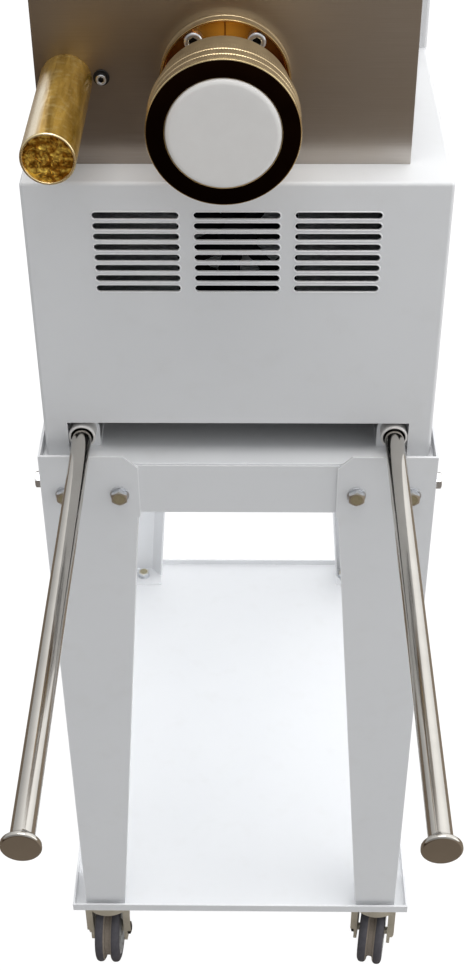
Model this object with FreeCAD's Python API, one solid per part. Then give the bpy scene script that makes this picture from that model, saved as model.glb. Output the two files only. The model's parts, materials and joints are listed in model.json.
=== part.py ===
import FreeCAD, Part

import os
from math import acos, cos, pi, radians, sin, sqrt, tan

# A small fresh-pasta extruder on a wheeled sheet-metal stand.
# Millimetres. +Z is up and Z = 0 is the floor. The front faces -Y, and +X is on the operator's right
# as they face the machine. The origin is under the middle of the machine.

V = FreeCAD.Vector
X_AXIS = V(1, 0, 0)
Y_AXIS = V(0, 1, 0)
Z_AXIS = V(0, 0, 1)

# ---- stand ----
SHEET = 2.0                 # thickness of the stand's sheet metal
STAND_HALF = 165.3          # from the centre plane to the legs' outer faces
STAND_FRONT = -74.0
STAND_BACK = 469.0
STAND_MID = (STAND_FRONT + STAND_BACK) / 2
LEG_TOP = 714.5
LEG_WIDE = 82.5             # width of a leg plate at the top
LEG_NARROW = 41.5           # and at the foot
LEG_CORNER = 12.0           # chamfer at the top inner corner
LEG_STEP = 2.3              # the plate narrows by this just below the beam
LIP_DEPTH = 16.0            # folded lip along a leg's inner edge
BEAM_TOP = 704.0
BEAM_HEIGHT = 50.0
BEAM_FLANGE = 30.0
BOLT_Z = 675.0
BOLT_INSETS = (20.0, 66.0)  # leg bolts, from the leg's outer corner
FOOT_BOLT = (31.3, 15.5)    # foot bolt, from the leg's outer side and outer front

# ---- lower shelf ----
SHELF_HALF = 179.0
SHELF_FRONT = -80.0
SHELF_BACK = 480.0
SHELF_UNDER = 105.0         # height of the shelf's underside: the casters' height
SHELF_TOP = SHELF_UNDER + SHEET
SHELF_LIP = 10.0

# ---- casters ----
CASTER_XS = {"left": -144.0, "right": 152.0}
CASTER_YS = {"front": -25.0, "rear": 420.0}
CASTER_TURNS = {"front_left": -2.0, "front_right": -10.0}
WHEEL_RADIUS = 37.5
WHEEL_WIDTH = 27.0
WHEEL_TRAIL = 28.0          # the wheel's axle sits this far in front of the swivel axis
HUB_RADIUS = 29.0
AXLE_RADIUS = 4.0
PLATE_THICK = 3.0
RACE_RADIUS = 22.5
KINGPIN_RADIUS = 6.0
FORK_HALF_GAP = 16.5
FORK_THICK = 3.5
FORK_FLANGE = 4.0           # the cheeks' front edges are folded outwards by this much
CROWN_REACH = 46.0          # the fork's crown reaches this far forward over the wheel
CROWN_RADIUS = 28.0
CROWN_UNDER = 82.0
CROWN_TOP = 92.0

# ---- lower and upper housing ----
SKIN = 1.5                  # thickness of the housing's sheet metal
HOUSING_HALF = 160.0
HOUSING_FRONT = -58.0
HOUSING_BACK = 460.0
HOUSING_TOP = 955.0
BEND = 3.0                  # outer radius of a folded edge
NOTCH_HALF = 140.5
NOTCH_TOP = 737.6
SLOT_LENGTH = 64.6
SLOT_HEIGHT = 5.7
SLOT_PITCH = 8.94
SLOT_ROWS = 8
SLOT_TOP_Z = HOUSING_TOP - 26.8
SLOT_GROUP_PITCH = 75.8
UPPER_FRONT = 188.0
UPPER_TOP = 1255.0
FLANGE = 12.5               # inward flange that the rear cover is screwed to
COVER_SCREW_X = 152.0
COVER_SCREW_ZS = (760.0, 900.0, 1010.0, 1200.0)

# ---- tray rails ----
RAIL_X = 129.0
RAIL_Z = 723.5
RAIL_RADIUS = 8.0
RAIL_END_RADIUS = 13.2
RAIL_FRONT = -480.0
RAIL_BACK = 30.0
BUSH_RADIUS = 11.0
BRACKET_HALF = 13.5
RUNNING = 0.05              # radial clearance of a running fit

# ---- front plate and what stands on it ----
AXIS_X = -8.0               # centre plane of the tub, auger and die
PLATE_HALF = 137.2
PLATE_FRONT = -28.0
PLATE_THICKNESS = 4.0
PLATE_BACK = PLATE_FRONT + PLATE_THICKNESS
AUGER_Z = HOUSING_TOP + 68.0
POST_X = -122.6
POST_Z = HOUSING_TOP + 66.5
POST_RADIUS = 18.8
POST_LENGTH = 126.5
POST_RECESS = 3.0
PLATE_SCREWS = ((-97.3, 1023.0), (-125.0, 1225.0), (109.0, 1225.0), (109.0, 1110.0))

# ---- die assembly, from the plate forwards ----
FLANGE_RADIUS = 47.3
FLANGE_RECESS = 45.3
FLANGE_LENGTH = 11.5
FLANGE_FLOOR = 3.5
FLANGE_SCREWS = 5
FLANGE_SCREW_CIRCLE = 38.0
NECK_RADIUS = 28.0
CUP_START = 38.0            # distances from the plate's front face
CUP_LENGTH = 47.5
CUP_RADIUS = 45.0
PLUG_BACK = 56.0
PLUG_RADIUS = 40.8
PLUG_FACE_RADIUS = 39.5
RING_START = 42.0
RING_STEP = 66.0
RING_END = 92.5
RING_COLLAR = 48.3
RING_RADIUS = 53.0

# ---- auger, mixing tub and drive ----
BARREL_RADIUS = 45.0
BARREL_BORE = 24.0
BEARING_START = 150.0
SHAFT_RADIUS = 10.0
SHAFT_BACK = 236.0
FLIGHT_RADIUS = 23.2
FLIGHT_PITCH = 30.0
FLIGHT_THICKNESS = 5.0
FLIGHT_LENGTH = 160.0
GEAR_MODULE = 2.5
MAIN_TEETH = 50
PINION_TEETH = 18
GEAR_FRONT = 214.0
GEAR_WIDTH = 18.0
PRESSURE_ANGLE = radians(20)
BACKLASH = 0.25
MIXER_Z = AUGER_Z + GEAR_MODULE * MAIN_TEETH
MOTOR_X = AXIS_X + GEAR_MODULE * (MAIN_TEETH + PINION_TEETH) / 2
MOTOR_RADIUS = 50.0
MOTOR_FRONT = 244.0
MOTOR_LENGTH = 176.0
TUB_RADIUS = 78.0
TUB_TOP = 1240.0
TUB_BACK = 186.0
TUB_FLANGE = 12.0
THROAT = (30.0, 140.0)      # front and back of the feed opening into the auger
THROAT_HALF = 20.0
PADDLE_REACH = 74.0
LID_BACK = 168.0
LID_THICKNESS = 2.0
HINGE_Y = 176.0
HINGE_Z = TUB_TOP + 7.5
HINGE_PIN = 3.0

# ---- controls on the right side of the upper housing ----
BUTTONS = {"start_button": (228.0, 1205.0), "stop_button": (268.0, 1205.0)}
KNOB_PLACE = (248.0, 1160.0)
BEZEL_RADIUS = 14.0
BEZEL_BARREL = 10.9
BUTTON_RADIUS = 8.5
STEM_RADIUS = 4.0

# ---- fan behind the front vents ----
FAN_Y = -40.0
FAN_Z = 897.0
FAN_HALF = 46.0
FAN_DEPTH = 25.0
FAN_BORE = 43.0
FAN_BLADES = 7


def box(x0, x1, y0, y1, z0, z1):
    return Part.makeBox(x1 - x0, y1 - y0, z1 - z0, V(x0, y0, z0))


def rod(radius, start, length, axis):
    return Part.makeCylinder(radius, length, V(*start), axis)


def rod_y(radius, x, z, y0, y1):
    return rod(radius, (x, y0, z), y1 - y0, Y_AXIS)


def tube_y(outer, inner, x, z, y0, y1):
    return rod_y(outer, x, z, y0, y1).cut(rod_y(inner, x, z, y0 - 1, y1 + 1))


def mirror_x(shape):
    return shape.mirror(V(0, 0, 0), X_AXIS)


def both_sides(shape):
    return [shape, mirror_x(shape)]


def fuse(first, *others):
    return first.fuse(list(others)).removeSplitter()


def cut(shape, *tools):
    return shape.cut(list(tools))


def prism(points, direction):
    """The closed outline through the points, pushed along direction."""
    outline = [V(*point) for point in points]
    return Part.Face(Part.makePolygon(outline + outline[:1])).extrude(V(*direction))


def hexagon(across_flats, start, length, axis):
    """A hexagonal prism along one of the row axes."""
    corner = across_flats / sqrt(3)
    points = [V(corner * cos(k * pi / 3), corner * sin(k * pi / 3), 0) for k in range(6)]
    solid = Part.Face(Part.makePolygon(points + points[:1])).extrude(V(0, 0, length))
    solid.Placement = FreeCAD.Placement(V(*start), FreeCAD.Rotation(Z_AXIS, axis))
    return solid


def socket_screw(radius, head_radius, head_length, shank, start, axis):
    """A socket cap screw: start is under the head, and axis points along the shank."""
    back = V(*start) - axis * head_length
    head = rod(head_radius, back, head_length, axis)
    socket = hexagon(head_radius * 0.95, back, head_length * 0.5, axis)
    return fuse(cut(head, socket), rod(radius, start, shank, axis))


def stack(*shapes):
    """Separate solids that share one node."""
    solids = []
    for shape in shapes:
        solids.extend(shape if isinstance(shape, list) else [shape])
    return Part.makeCompound(solids)


# ---------------------------------------------------------------- stand

def bolt_sets():
    """(point on the outer face, axis inwards) for every bolt at the top of the legs."""
    places = []
    for inset in BOLT_INSETS:
        for side in (-1, 1):
            x = side * (STAND_HALF - inset)
            places.append((V(x, STAND_FRONT, BOLT_Z), Y_AXIS))
            places.append((V(x, STAND_BACK, BOLT_Z), -Y_AXIS))
            inwards = X_AXIS * -side
            places.append((V(side * STAND_HALF, STAND_FRONT + inset, BOLT_Z), inwards))
            places.append((V(side * STAND_HALF, STAND_BACK - inset, BOLT_Z), inwards))
    return places


def foot_bolt_sets():
    """(point on top of the foot, axis downwards) for the bolt through each foot."""
    places = []
    for side in (-1, 1):
        x = side * (STAND_HALF - FOOT_BOLT[0])
        for y in (STAND_FRONT + FOOT_BOLT[1], STAND_BACK - FOOT_BOLT[1]):
            places.append((V(x, y, SHELF_TOP + SHEET), -Z_AXIS))
    return places


def all_bolt_sets():
    return bolt_sets() + foot_bolt_sets()


def bolt_holes():
    radius = 4.2
    reach = 3 * SHEET
    return [rod(radius, point - axis, reach, axis) for point, axis in all_bolt_sets()]


def leg_plate_outline():
    """Points (distance from the outer corner, height) of one face of a leg."""
    step_z = BEAM_TOP - BEAM_HEIGHT - 4
    return [
        (0, SHELF_TOP),
        (0, LEG_TOP),
        (LEG_WIDE - LEG_CORNER, LEG_TOP),
        (LEG_WIDE, LEG_TOP - LEG_CORNER),
        (LEG_WIDE, step_z),
        (LEG_WIDE - LEG_STEP, step_z),
        (LEG_NARROW, SHELF_TOP),
    ]


def leg(lip_run):
    """The front left leg. lip_run is how far its folded lip leans sideways over its depth."""
    corner_x = -STAND_HALF
    corner_y = STAND_FRONT
    outline = leg_plate_outline()
    front = prism([(corner_x + d, corner_y, z) for d, z in outline], (0, SHEET, 0))
    side = prism([(corner_x, corner_y + d, z) for d, z in outline], (SHEET, 0, 0))
    top = outline[5]
    foot = outline[6]
    lip_edge = [top, (top[0] - SHEET, top[1]), (foot[0] - SHEET, foot[1]), foot]
    lip = prism([(corner_x + d, corner_y, z) for d, z in lip_edge], (lip_run, LIP_DEPTH, 0))
    foot_edge = [
        (SHEET / 2, SHEET / 2),
        (LEG_NARROW, SHEET / 2),
        (LEG_NARROW + lip_run, LIP_DEPTH),
        (LEG_NARROW + lip_run, 2 * LIP_DEPTH),
        (SHEET / 2, 2 * LIP_DEPTH),
    ]
    foot_plate = prism([(corner_x + a, corner_y + b, SHELF_TOP) for a, b in foot_edge], (0, 0, SHEET))
    return fuse(front, side, lip, foot_plate)


def legs():
    middle = V(0, STAND_MID, 0)
    front_left = leg(0.0)
    rear_left = leg(14.0).mirror(middle, Y_AXIS)
    rear_right = mirror_x(leg(0.0)).mirror(middle, Y_AXIS)
    holes = bolt_holes()
    return {
        "leg_front_left": cut(front_left, *holes),
        "leg_front_right": cut(mirror_x(front_left), *holes),
        "leg_rear_left": cut(rear_left, *holes),
        "leg_rear_right": cut(rear_right, *holes),
    }


def front_beam():
    half = STAND_HALF - 2 * SHEET
    y = STAND_FRONT + SHEET
    bottom = BEAM_TOP - BEAM_HEIGHT
    web = box(-half, half, y, y + SHEET, bottom, BEAM_TOP)
    upper = box(-half, half, y, y + BEAM_FLANGE, BEAM_TOP - SHEET, BEAM_TOP)
    lower = box(-half, half, y, y + BEAM_FLANGE, bottom, bottom + SHEET)
    return cut(fuse(web, upper, lower), *bolt_holes())


def rear_beam():
    return front_beam().mirror(V(0, STAND_MID, 0), Y_AXIS)


def side_beams():
    x = -STAND_HALF + SHEET
    bottom = BEAM_TOP - BEAM_HEIGHT
    inset = SHEET + BEAM_FLANGE
    front = STAND_FRONT + inset
    back = STAND_BACK - inset
    web = box(x, x + SHEET, STAND_FRONT + SHEET, STAND_BACK - SHEET, bottom, BEAM_TOP)
    upper = box(x, x + BEAM_FLANGE, front, back, BEAM_TOP - SHEET, BEAM_TOP)
    lower = box(x, x + BEAM_FLANGE, front, back, bottom, bottom + SHEET)
    left = cut(fuse(web, upper, lower), *bolt_holes())
    return stack(both_sides(left))


def lower_shelf():
    top = SHELF_UNDER + SHELF_LIP
    tray = box(-SHELF_HALF, SHELF_HALF, SHELF_FRONT, SHELF_BACK, SHELF_UNDER, top)
    inner = SHELF_HALF - SHEET
    space = box(-inner, inner, SHELF_FRONT + SHEET, SHELF_BACK - SHEET, SHELF_TOP, top + 1)
    return cut(tray, space, *bolt_holes())


def stand_bolts():
    head = 5.3
    washer = 1.6
    shank = 13.0
    bolts = []
    for point, axis in all_bolt_sets():
        seat = point - axis * washer
        bolts.append(fuse(hexagon(13.0, seat - axis * head, head, axis), rod(4.0, seat, shank, axis)))
    return stack(bolts)


def stand_washers():
    washer = 1.6
    rings = []
    for point, axis in all_bolt_sets():
        seat = point - axis * washer
        rings.append(cut(rod(8.0, seat, washer, axis), rod(4.2, seat - axis, washer + 2, axis)))
    return stack(rings)


def stand_nuts():
    thickness = 6.5
    nuts = []
    for point, axis in all_bolt_sets():
        start = point + axis * 2 * SHEET
        nuts.append(cut(hexagon(13.0, start, thickness, axis), rod(4.0, start - axis, thickness + 2, axis)))
    return stack(nuts)


# ---------------------------------------------------------------- casters

def caster_places():
    """{name: (swivel axis x, y, turn in degrees)}"""
    places = {}
    for end, y in CASTER_YS.items():
        for side, x in CASTER_XS.items():
            name = end + "_" + side
            places[name] = (x, y, CASTER_TURNS.get(name, 0.0))
    return places


def placed(shape, place):
    """A caster piece made on the Z axis, turned and moved to its place."""
    x, y, turn = place
    moved = shape.copy()
    moved.rotate(V(0, 0, 0), Z_AXIS, turn)
    moved.translate(V(x, y, 0))
    return moved


def caster_plate():
    plate = box(-26, 26, -23, 23, SHELF_UNDER - PLATE_THICK, SHELF_UNDER)
    kingpin = rod(KINGPIN_RADIUS, (0, 0, 86), SHELF_UNDER - 86, Z_AXIS)
    rivet = rod(9.0, (0, 0, 84), 3.5, Z_AXIS)
    return fuse(plate, kingpin, rivet)


def crown(half, radius, z0, z1):
    """A block with straight sides and a round front, over the wheel."""
    centre_y = CROWN_RADIUS - CROWN_REACH
    front = rod(radius, (0, centre_y, z0), z1 - z0, Z_AXIS)
    front = front.common(box(-half, half, -CROWN_REACH - 1, centre_y, z0, z1))
    return fuse(front, box(-half, half, centre_y, 18, z0, z1))


def caster_fork():
    """The swivel race, a pressed crown with a skirt, and the two cheeks that hold the axle."""
    outer = FORK_HALF_GAP + FORK_THICK
    race = rod(RACE_RADIUS, (0, 0, CROWN_TOP - 1), 10.5, Z_AXIS)
    inside = crown(FORK_HALF_GAP, CROWN_RADIUS - FORK_THICK, CROWN_UNDER - 1, CROWN_TOP - FORK_THICK)
    shell = crown(outer, CROWN_RADIUS, CROWN_UNDER, CROWN_TOP).cut(inside)
    cheek_outline = [(18, 90), (-37, 90), (-WHEEL_TRAIL - 11, 46), (-WHEEL_TRAIL - 11, 30),
                     (-WHEEL_TRAIL + 11, 30)]
    cheeks = []
    for x in (-outer, FORK_HALF_GAP):
        cheeks.append(prism([(x, y, z) for y, z in cheek_outline], (FORK_THICK, 0, 0)))
        cheeks.append(rod(11.0, (x, -WHEEL_TRAIL, WHEEL_RADIUS), FORK_THICK, X_AXIS))
        flange_x = x if x > 0 else x - FORK_FLANGE
        flange_y = -WHEEL_TRAIL - 11
        cheeks.append(box(flange_x, flange_x + FORK_THICK + FORK_FLANGE, flange_y, flange_y + 3, 46, 88))
    body = fuse(race, shell, *cheeks)
    pin_hole = rod(KINGPIN_RADIUS + RUNNING, (0, 0, 80), 30, Z_AXIS)
    axle_hole = rod(AXLE_RADIUS, (-30, -WHEEL_TRAIL, WHEEL_RADIUS), 60, X_AXIS)
    return cut(body, pin_hole, axle_hole)


def caster_axle():
    half = FORK_HALF_GAP + FORK_THICK
    pin = rod(AXLE_RADIUS, (-half, -WHEEL_TRAIL, WHEEL_RADIUS), 2 * half, X_AXIS)
    heads = [rod(7.0, (x, -WHEEL_TRAIL, WHEEL_RADIUS), 4.0, X_AXIS) for x in (-half - 4, half)]
    return fuse(pin, *heads)


def wheel_hub():
    half = WHEEL_WIDTH / 2
    x = -half
    body = rod(HUB_RADIUS, (x, -WHEEL_TRAIL, WHEEL_RADIUS), WHEEL_WIDTH, X_AXIS)
    dish = 4.0
    tools = [rod(AXLE_RADIUS + RUNNING, (x - 1, -WHEEL_TRAIL, WHEEL_RADIUS), WHEEL_WIDTH + 2, X_AXIS)]
    for start in (x - 1, half - dish):
        ring = rod(HUB_RADIUS - 3, (start, -WHEEL_TRAIL, WHEEL_RADIUS), dish + 1, X_AXIS)
        tools.append(ring.cut(rod(9.0, (start - 1, -WHEEL_TRAIL, WHEEL_RADIUS), dish + 3, X_AXIS)))
    return cut(body, *tools)


def wheel_tyre():
    """Twin treads with a groove between them, turned about the axle."""
    half = WHEEL_WIDTH / 2
    shoulder = 5.0
    groove = 3.5
    points = [
        V(-half, HUB_RADIUS, 0),
        V(-half, WHEEL_RADIUS - shoulder, 0),
        V(-half + shoulder, WHEEL_RADIUS, 0),
        V(-groove, WHEEL_RADIUS, 0),
        V(0, WHEEL_RADIUS - 7, 0),
        V(groove, WHEEL_RADIUS, 0),
        V(half - shoulder, WHEEL_RADIUS, 0),
        V(half, WHEEL_RADIUS - shoulder, 0),
        V(half, HUB_RADIUS, 0),
    ]
    face = Part.Face(Part.makePolygon(points + points[:1]))
    tyre = face.revolve(V(0, 0, 0), X_AXIS, 360)
    tyre.translate(V(0, -WHEEL_TRAIL, WHEEL_RADIUS))
    return tyre


def casters():
    plates = [placed(caster_plate(), (x, y, 0)) for x, y, _ in caster_places().values()]
    parts = {"caster_plates": stack(plates)}
    for name, place in caster_places().items():
        parts["caster_fork_" + name] = placed(caster_fork(), place)
        parts["caster_axle_" + name] = placed(caster_axle(), place)
        parts["wheel_hub_" + name] = placed(wheel_hub(), place)
        parts["wheel_tyre_" + name] = placed(wheel_tyre(), place)
    return parts


# ---------------------------------------------------------------- housing

def slot(length, height, x, y, z, depth):
    """A round-ended slot cutter along X, centred on (x, z), through the wall at y."""
    end = height / 2
    run = length / 2 - end
    parts = [box(x - run, x + run, y, y + depth, z - end, z + end)]
    parts += [rod_y(end, x + side * run, z, y, y + depth) for side in (-1, 1)]
    return fuse(*parts)


def vent_slots(y):
    slots = []
    for group in (-1, 0, 1):
        for row in range(SLOT_ROWS):
            z = SLOT_TOP_Z - row * SLOT_PITCH
            slots.append(slot(SLOT_LENGTH, SLOT_HEIGHT, group * SLOT_GROUP_PITCH, y, z, 6 * SKIN))
    return slots


def folded_edges(shape, front, top):
    """The outer edges that a sheet-metal cover is folded along: its top and its front corners."""
    edges = []
    for edge in shape.Edges:
        middle = edge.CenterOfMass
        on_top = abs(middle.z - top) < 0.1
        on_front = abs(middle.y - front) < 0.1
        on_side = abs(abs(middle.x) - HOUSING_HALF) < 0.1
        if (on_top and (on_front or on_side)) or (on_front and on_side):
            edges.append(edge)
    return edges


def cover_flange(bottom, top):
    """The inward flange round the open back, with the cover's screw holes."""
    inner = HOUSING_HALF - SKIN
    y = HOUSING_BACK - SKIN
    ring = box(-inner - 0.5, inner + 0.5, y, HOUSING_BACK, bottom, top)
    window = box(-inner + FLANGE, inner - FLANGE, y - 1, HOUSING_BACK + 1, bottom + FLANGE, top - FLANGE)
    return ring.cut(window)


def screw_holes(y0, y1):
    return [rod_y(2.6, side * COVER_SCREW_X, z, y0, y1) for side in (-1, 1) for z in COVER_SCREW_ZS]


def housing_shell(front, bottom, top, flange_bottom):
    outside = box(-HOUSING_HALF, HOUSING_HALF, front, HOUSING_BACK, bottom, top)
    outside = outside.makeFillet(BEND, folded_edges(outside, front, top))
    inner = HOUSING_HALF - SKIN
    inside = box(-inner, inner, front + SKIN, HOUSING_BACK + 1, bottom - 1, top - SKIN)
    shell = fuse(outside.cut(inside), cover_flange(flange_bottom, top - SKIN / 2))
    return cut(shell, *screw_holes(HOUSING_BACK - 5, HOUSING_BACK + 5))


def lower_housing():
    shell = housing_shell(HOUSING_FRONT, BEAM_TOP, HOUSING_TOP, BEAM_TOP + SHEET + 0.5)
    y = HOUSING_FRONT - 3 * SKIN
    notch = box(-NOTCH_HALF, NOTCH_HALF, y, y + 6 * SKIN, BEAM_TOP - 1, NOTCH_TOP)
    cable_hole = rod(20.0, (0, 320, HOUSING_TOP - 5), 10, Z_AXIS)
    return cut(shell, notch, cable_hole, *vent_slots(y))


def upper_housing():
    shell = housing_shell(UPPER_FRONT, HOUSING_TOP, UPPER_TOP, HOUSING_TOP + 0.5)
    y0 = UPPER_FRONT - 5
    y1 = UPPER_FRONT + 5
    tools = [rod_y(SHAFT_RADIUS + 1, AXIS_X, z, y0, y1) for z in (AUGER_Z, MIXER_Z)]
    for y, z in list(BUTTONS.values()) + [KNOB_PLACE]:
        tools.append(rod(BEZEL_BARREL, (HOUSING_HALF - 5, y, z), 10, X_AXIS))
    return cut(shell, *tools)


def rear_cover():
    half = HOUSING_HALF - SKIN
    sheet = box(-half, half, HOUSING_BACK, HOUSING_BACK + SKIN, BEAM_TOP + SHEET, UPPER_TOP - SKIN)
    y = HOUSING_BACK - SKIN
    slots = [slot(SLOT_LENGTH * 2, SLOT_HEIGHT, 0, y, 880 - row * 12, 4 * SKIN) for row in range(6)]
    gland_hole = rod_y(8.0, 110, 765, y, y + 4 * SKIN)
    return cut(sheet, gland_hole, *slots, *screw_holes(HOUSING_BACK - 5, HOUSING_BACK + 5))


def cable_gland():
    """The mains cable's entry: body, sealing dome and locknut in one threaded fitting."""
    y = HOUSING_BACK + SKIN
    body = hexagon(22.0, (110, y, 765), 6, Y_AXIS)
    dome = Part.makeCone(10.0, 7.5, 12, V(110, y + 6, 765), Y_AXIS)
    thread = rod_y(8.0, 110, 765, y - 12, y)
    bore = rod_y(4.5, 110, 765, y - 13, y + 20)
    return cut(fuse(body, dome, thread), bore)


def panel_screws():
    """The socket screws of the rear cover and of the front plate."""
    screws = []
    for side in (-1, 1):
        for z in COVER_SCREW_ZS:
            start = (side * COVER_SCREW_X, HOUSING_BACK + SKIN, z)
            screws.append(socket_screw(2.5, 4.25, 4.0, 8.0, start, -Y_AXIS))
    for x, z in PLATE_SCREWS:
        screws.append(socket_screw(2.5, 4.25, 5.0, 8.0, (x, PLATE_FRONT, z), Y_AXIS))
    return stack(screws)


def base_pan():
    """The floor of the lower housing, with the brackets that hold the rails' bushes."""
    half = HOUSING_HALF - SKIN - 0.5
    top = BEAM_TOP + SHEET
    floor = box(-half, half, HOUSING_FRONT + 2, HOUSING_BACK - 3, BEAM_TOP, top)
    tongue = box(-NOTCH_HALF + 3, NOTCH_HALF - 3, STAND_FRONT + 3, HOUSING_FRONT + 2, BEAM_TOP, top)
    brackets = []
    for side in (-1, 1):
        x = side * RAIL_X
        brackets.append(box(x - BRACKET_HALF, x + BRACKET_HALF, -47, 7, top - 1, top + SHEET))
        for y in (-47, 4):
            post = box(x - BRACKET_HALF, x + BRACKET_HALF, y, y + 3, top, RAIL_Z)
            eye = rod_y(BRACKET_HALF, x, RAIL_Z, y, y + 3)
            brackets.append(fuse(post, eye).cut(rod_y(BUSH_RADIUS, x, RAIL_Z, y - 1, y + 4)))
    return fuse(floor, tongue, *brackets)


# ---------------------------------------------------------------- tray rails

def tray_rail(x):
    """A chromed rod with a round end flange in front and a stop collar at the back."""
    bar = rod_y(RAIL_RADIUS, x, RAIL_Z, RAIL_FRONT, RAIL_BACK)
    flange = rod_y(RAIL_END_RADIUS, x, RAIL_Z, RAIL_FRONT, RAIL_FRONT + 4)
    fillet_ring = Part.makeCone(10.5, RAIL_RADIUS, 4, V(x, RAIL_FRONT + 4, RAIL_Z), Y_AXIS)
    collar = rod_y(10.5, x, RAIL_Z, RAIL_BACK - 8, RAIL_BACK)
    return fuse(bar, flange, fillet_ring, collar)


def rail_bushes():
    rings = []
    for side in (-1, 1):
        for y0, y1 in ((HOUSING_FRONT - 1, -44), (-2, 13)):
            rings.append(tube_y(BUSH_RADIUS, RAIL_RADIUS + RUNNING, side * RAIL_X, RAIL_Z, y0, y1))
    return stack(rings)


# ---------------------------------------------------------------- front plate and die

def flange_screw_places():
    places = []
    for k in range(FLANGE_SCREWS):
        angle = pi / 2 + (k + 0.5) * 2 * pi / FLANGE_SCREWS
        places.append((AXIS_X + FLANGE_SCREW_CIRCLE * cos(angle), AUGER_Z + FLANGE_SCREW_CIRCLE * sin(angle)))
    return places


def front_plate():
    sheet = box(AXIS_X - PLATE_HALF, AXIS_X + PLATE_HALF, PLATE_FRONT, PLATE_BACK, HOUSING_TOP, UPPER_TOP)
    corners = [e for e in sheet.Edges if abs(e.CenterOfMass.z - UPPER_TOP) < 0.1 and e.Length < 5]
    sheet = sheet.makeFillet(12.0, corners)
    y0 = PLATE_FRONT - 1
    y1 = PLATE_BACK + 1
    tools = [rod_y(BARREL_BORE, AXIS_X, AUGER_Z, y0, y1), rod_y(18.0, AXIS_X, MIXER_Z, y0, y1)]
    tools += [rod_y(2.6, x, z, y0, y1) for x, z in PLATE_SCREWS]
    tools += [rod_y(4.2, x, z, y0, y1) for x, z in flange_screw_places()]
    return cut(sheet, *tools)


def cutter_post():
    end = PLATE_FRONT - POST_LENGTH
    post = rod_y(POST_RADIUS, POST_X, POST_Z, end, PLATE_FRONT)
    return post.cut(rod_y(POST_RADIUS - 2, POST_X, POST_Z, end - 1, end + POST_RECESS))


def die_flange():
    """The bronze body that carries the die: a recessed flange, a neck and a threaded cup."""
    y = PLATE_FRONT
    plate = rod_y(FLANGE_RADIUS, AXIS_X, AUGER_Z, y - FLANGE_LENGTH, y)
    recess = rod_y(FLANGE_RECESS, AXIS_X, AUGER_Z, y - FLANGE_LENGTH - 1, y - FLANGE_FLOOR)
    neck = rod_y(NECK_RADIUS, AXIS_X, AUGER_Z, y - CUP_START - 2, y - 1)
    cup = rod_y(CUP_RADIUS, AXIS_X, AUGER_Z, y - CUP_START - CUP_LENGTH, y - CUP_START)
    bore = rod_y(BARREL_BORE, AXIS_X, AUGER_Z, y - PLUG_BACK - 1, y + 1)
    seat = rod_y(PLUG_RADIUS + 0.2, AXIS_X, AUGER_Z, y - CUP_START - CUP_LENGTH - 1, y - PLUG_BACK)
    holes = [rod_y(4.2, x, z, y - FLANGE_FLOOR - 1, y + 1) for x, z in flange_screw_places()]
    body = fuse(plate.cut(recess), neck, cup)
    return cut(body, bore, seat, *holes)


def flange_screws():
    y = PLATE_FRONT - FLANGE_FLOOR
    return stack([socket_screw(4.0, 6.5, 8.0, 20.0, (x, y, z), Y_AXIS) for x, z in flange_screw_places()])


def ring_nut():
    """The ring that clamps the die: a rear collar, grooved bands and a lip over the die's edge."""
    y = PLATE_FRONT
    collar = rod_y(RING_COLLAR, AXIS_X, AUGER_Z, y - RING_END, y - RING_START)
    band = rod_y(RING_RADIUS, AXIS_X, AUGER_Z, y - RING_END, y - RING_STEP)
    cup_end = y - CUP_START - CUP_LENGTH
    bore = rod_y(CUP_RADIUS + RUNNING, AXIS_X, AUGER_Z, cup_end - 0.3, y)
    mouth = rod_y(PLUG_FACE_RADIUS + 0.3, AXIS_X, AUGER_Z, y - RING_END - 1, y)
    grooves = []
    for start in (RING_STEP + 8, RING_STEP + 16):
        grooves.append(tube_y(RING_RADIUS + 1, RING_RADIUS - 1, AXIS_X, AUGER_Z, y - start - 1.2, y - start))
    return cut(fuse(collar, band), bore, mouth, *grooves)


def die_plug():
    """The white blanking die: a shouldered disc with a rounded face."""
    y = PLATE_FRONT
    shoulder_end = y - CUP_START - CUP_LENGTH
    shoulder = rod_y(PLUG_RADIUS, AXIS_X, AUGER_Z, shoulder_end, y - PLUG_BACK)
    face = y - RING_END - 1.5
    boss = rod_y(PLUG_FACE_RADIUS, AXIS_X, AUGER_Z, face, y - PLUG_BACK - 5)
    rim = [e for e in boss.Edges if abs(e.CenterOfMass.y - face) < 0.1]
    return fuse(shoulder, boss.makeFillet(4.0, rim))


# ---------------------------------------------------------------- tub, auger and drive

def throat():
    return box(AXIS_X - THROAT_HALF, AXIS_X + THROAT_HALF, THROAT[0], THROAT[1], AUGER_Z, MIXER_Z - 60)


def extrusion_barrel():
    body = rod_y(BARREL_RADIUS, AXIS_X, AUGER_Z, PLATE_BACK, UPPER_FRONT)
    bore = rod_y(BARREL_BORE, AXIS_X, AUGER_Z, PLATE_BACK - 1, BEARING_START)
    bearing = rod_y(SHAFT_RADIUS + RUNNING, AXIS_X, AUGER_Z, BEARING_START - 1, UPPER_FRONT + 1)
    tapped = [rod_y(4.0, x, z, PLATE_BACK - 1, PLATE_BACK + 20) for x, z in flange_screw_places()]
    return cut(body, bore, bearing, throat(), *tapped)


def tub_section(radius, y0, y1, top):
    """A U-shaped block: a half round below the mixer's axis and straight sides above it."""
    lower = rod_y(radius, AXIS_X, MIXER_Z, y0, y1)
    upper = box(AXIS_X - radius, AXIS_X + radius, y0, y1, MIXER_Z, top)
    return fuse(lower, upper)


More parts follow.
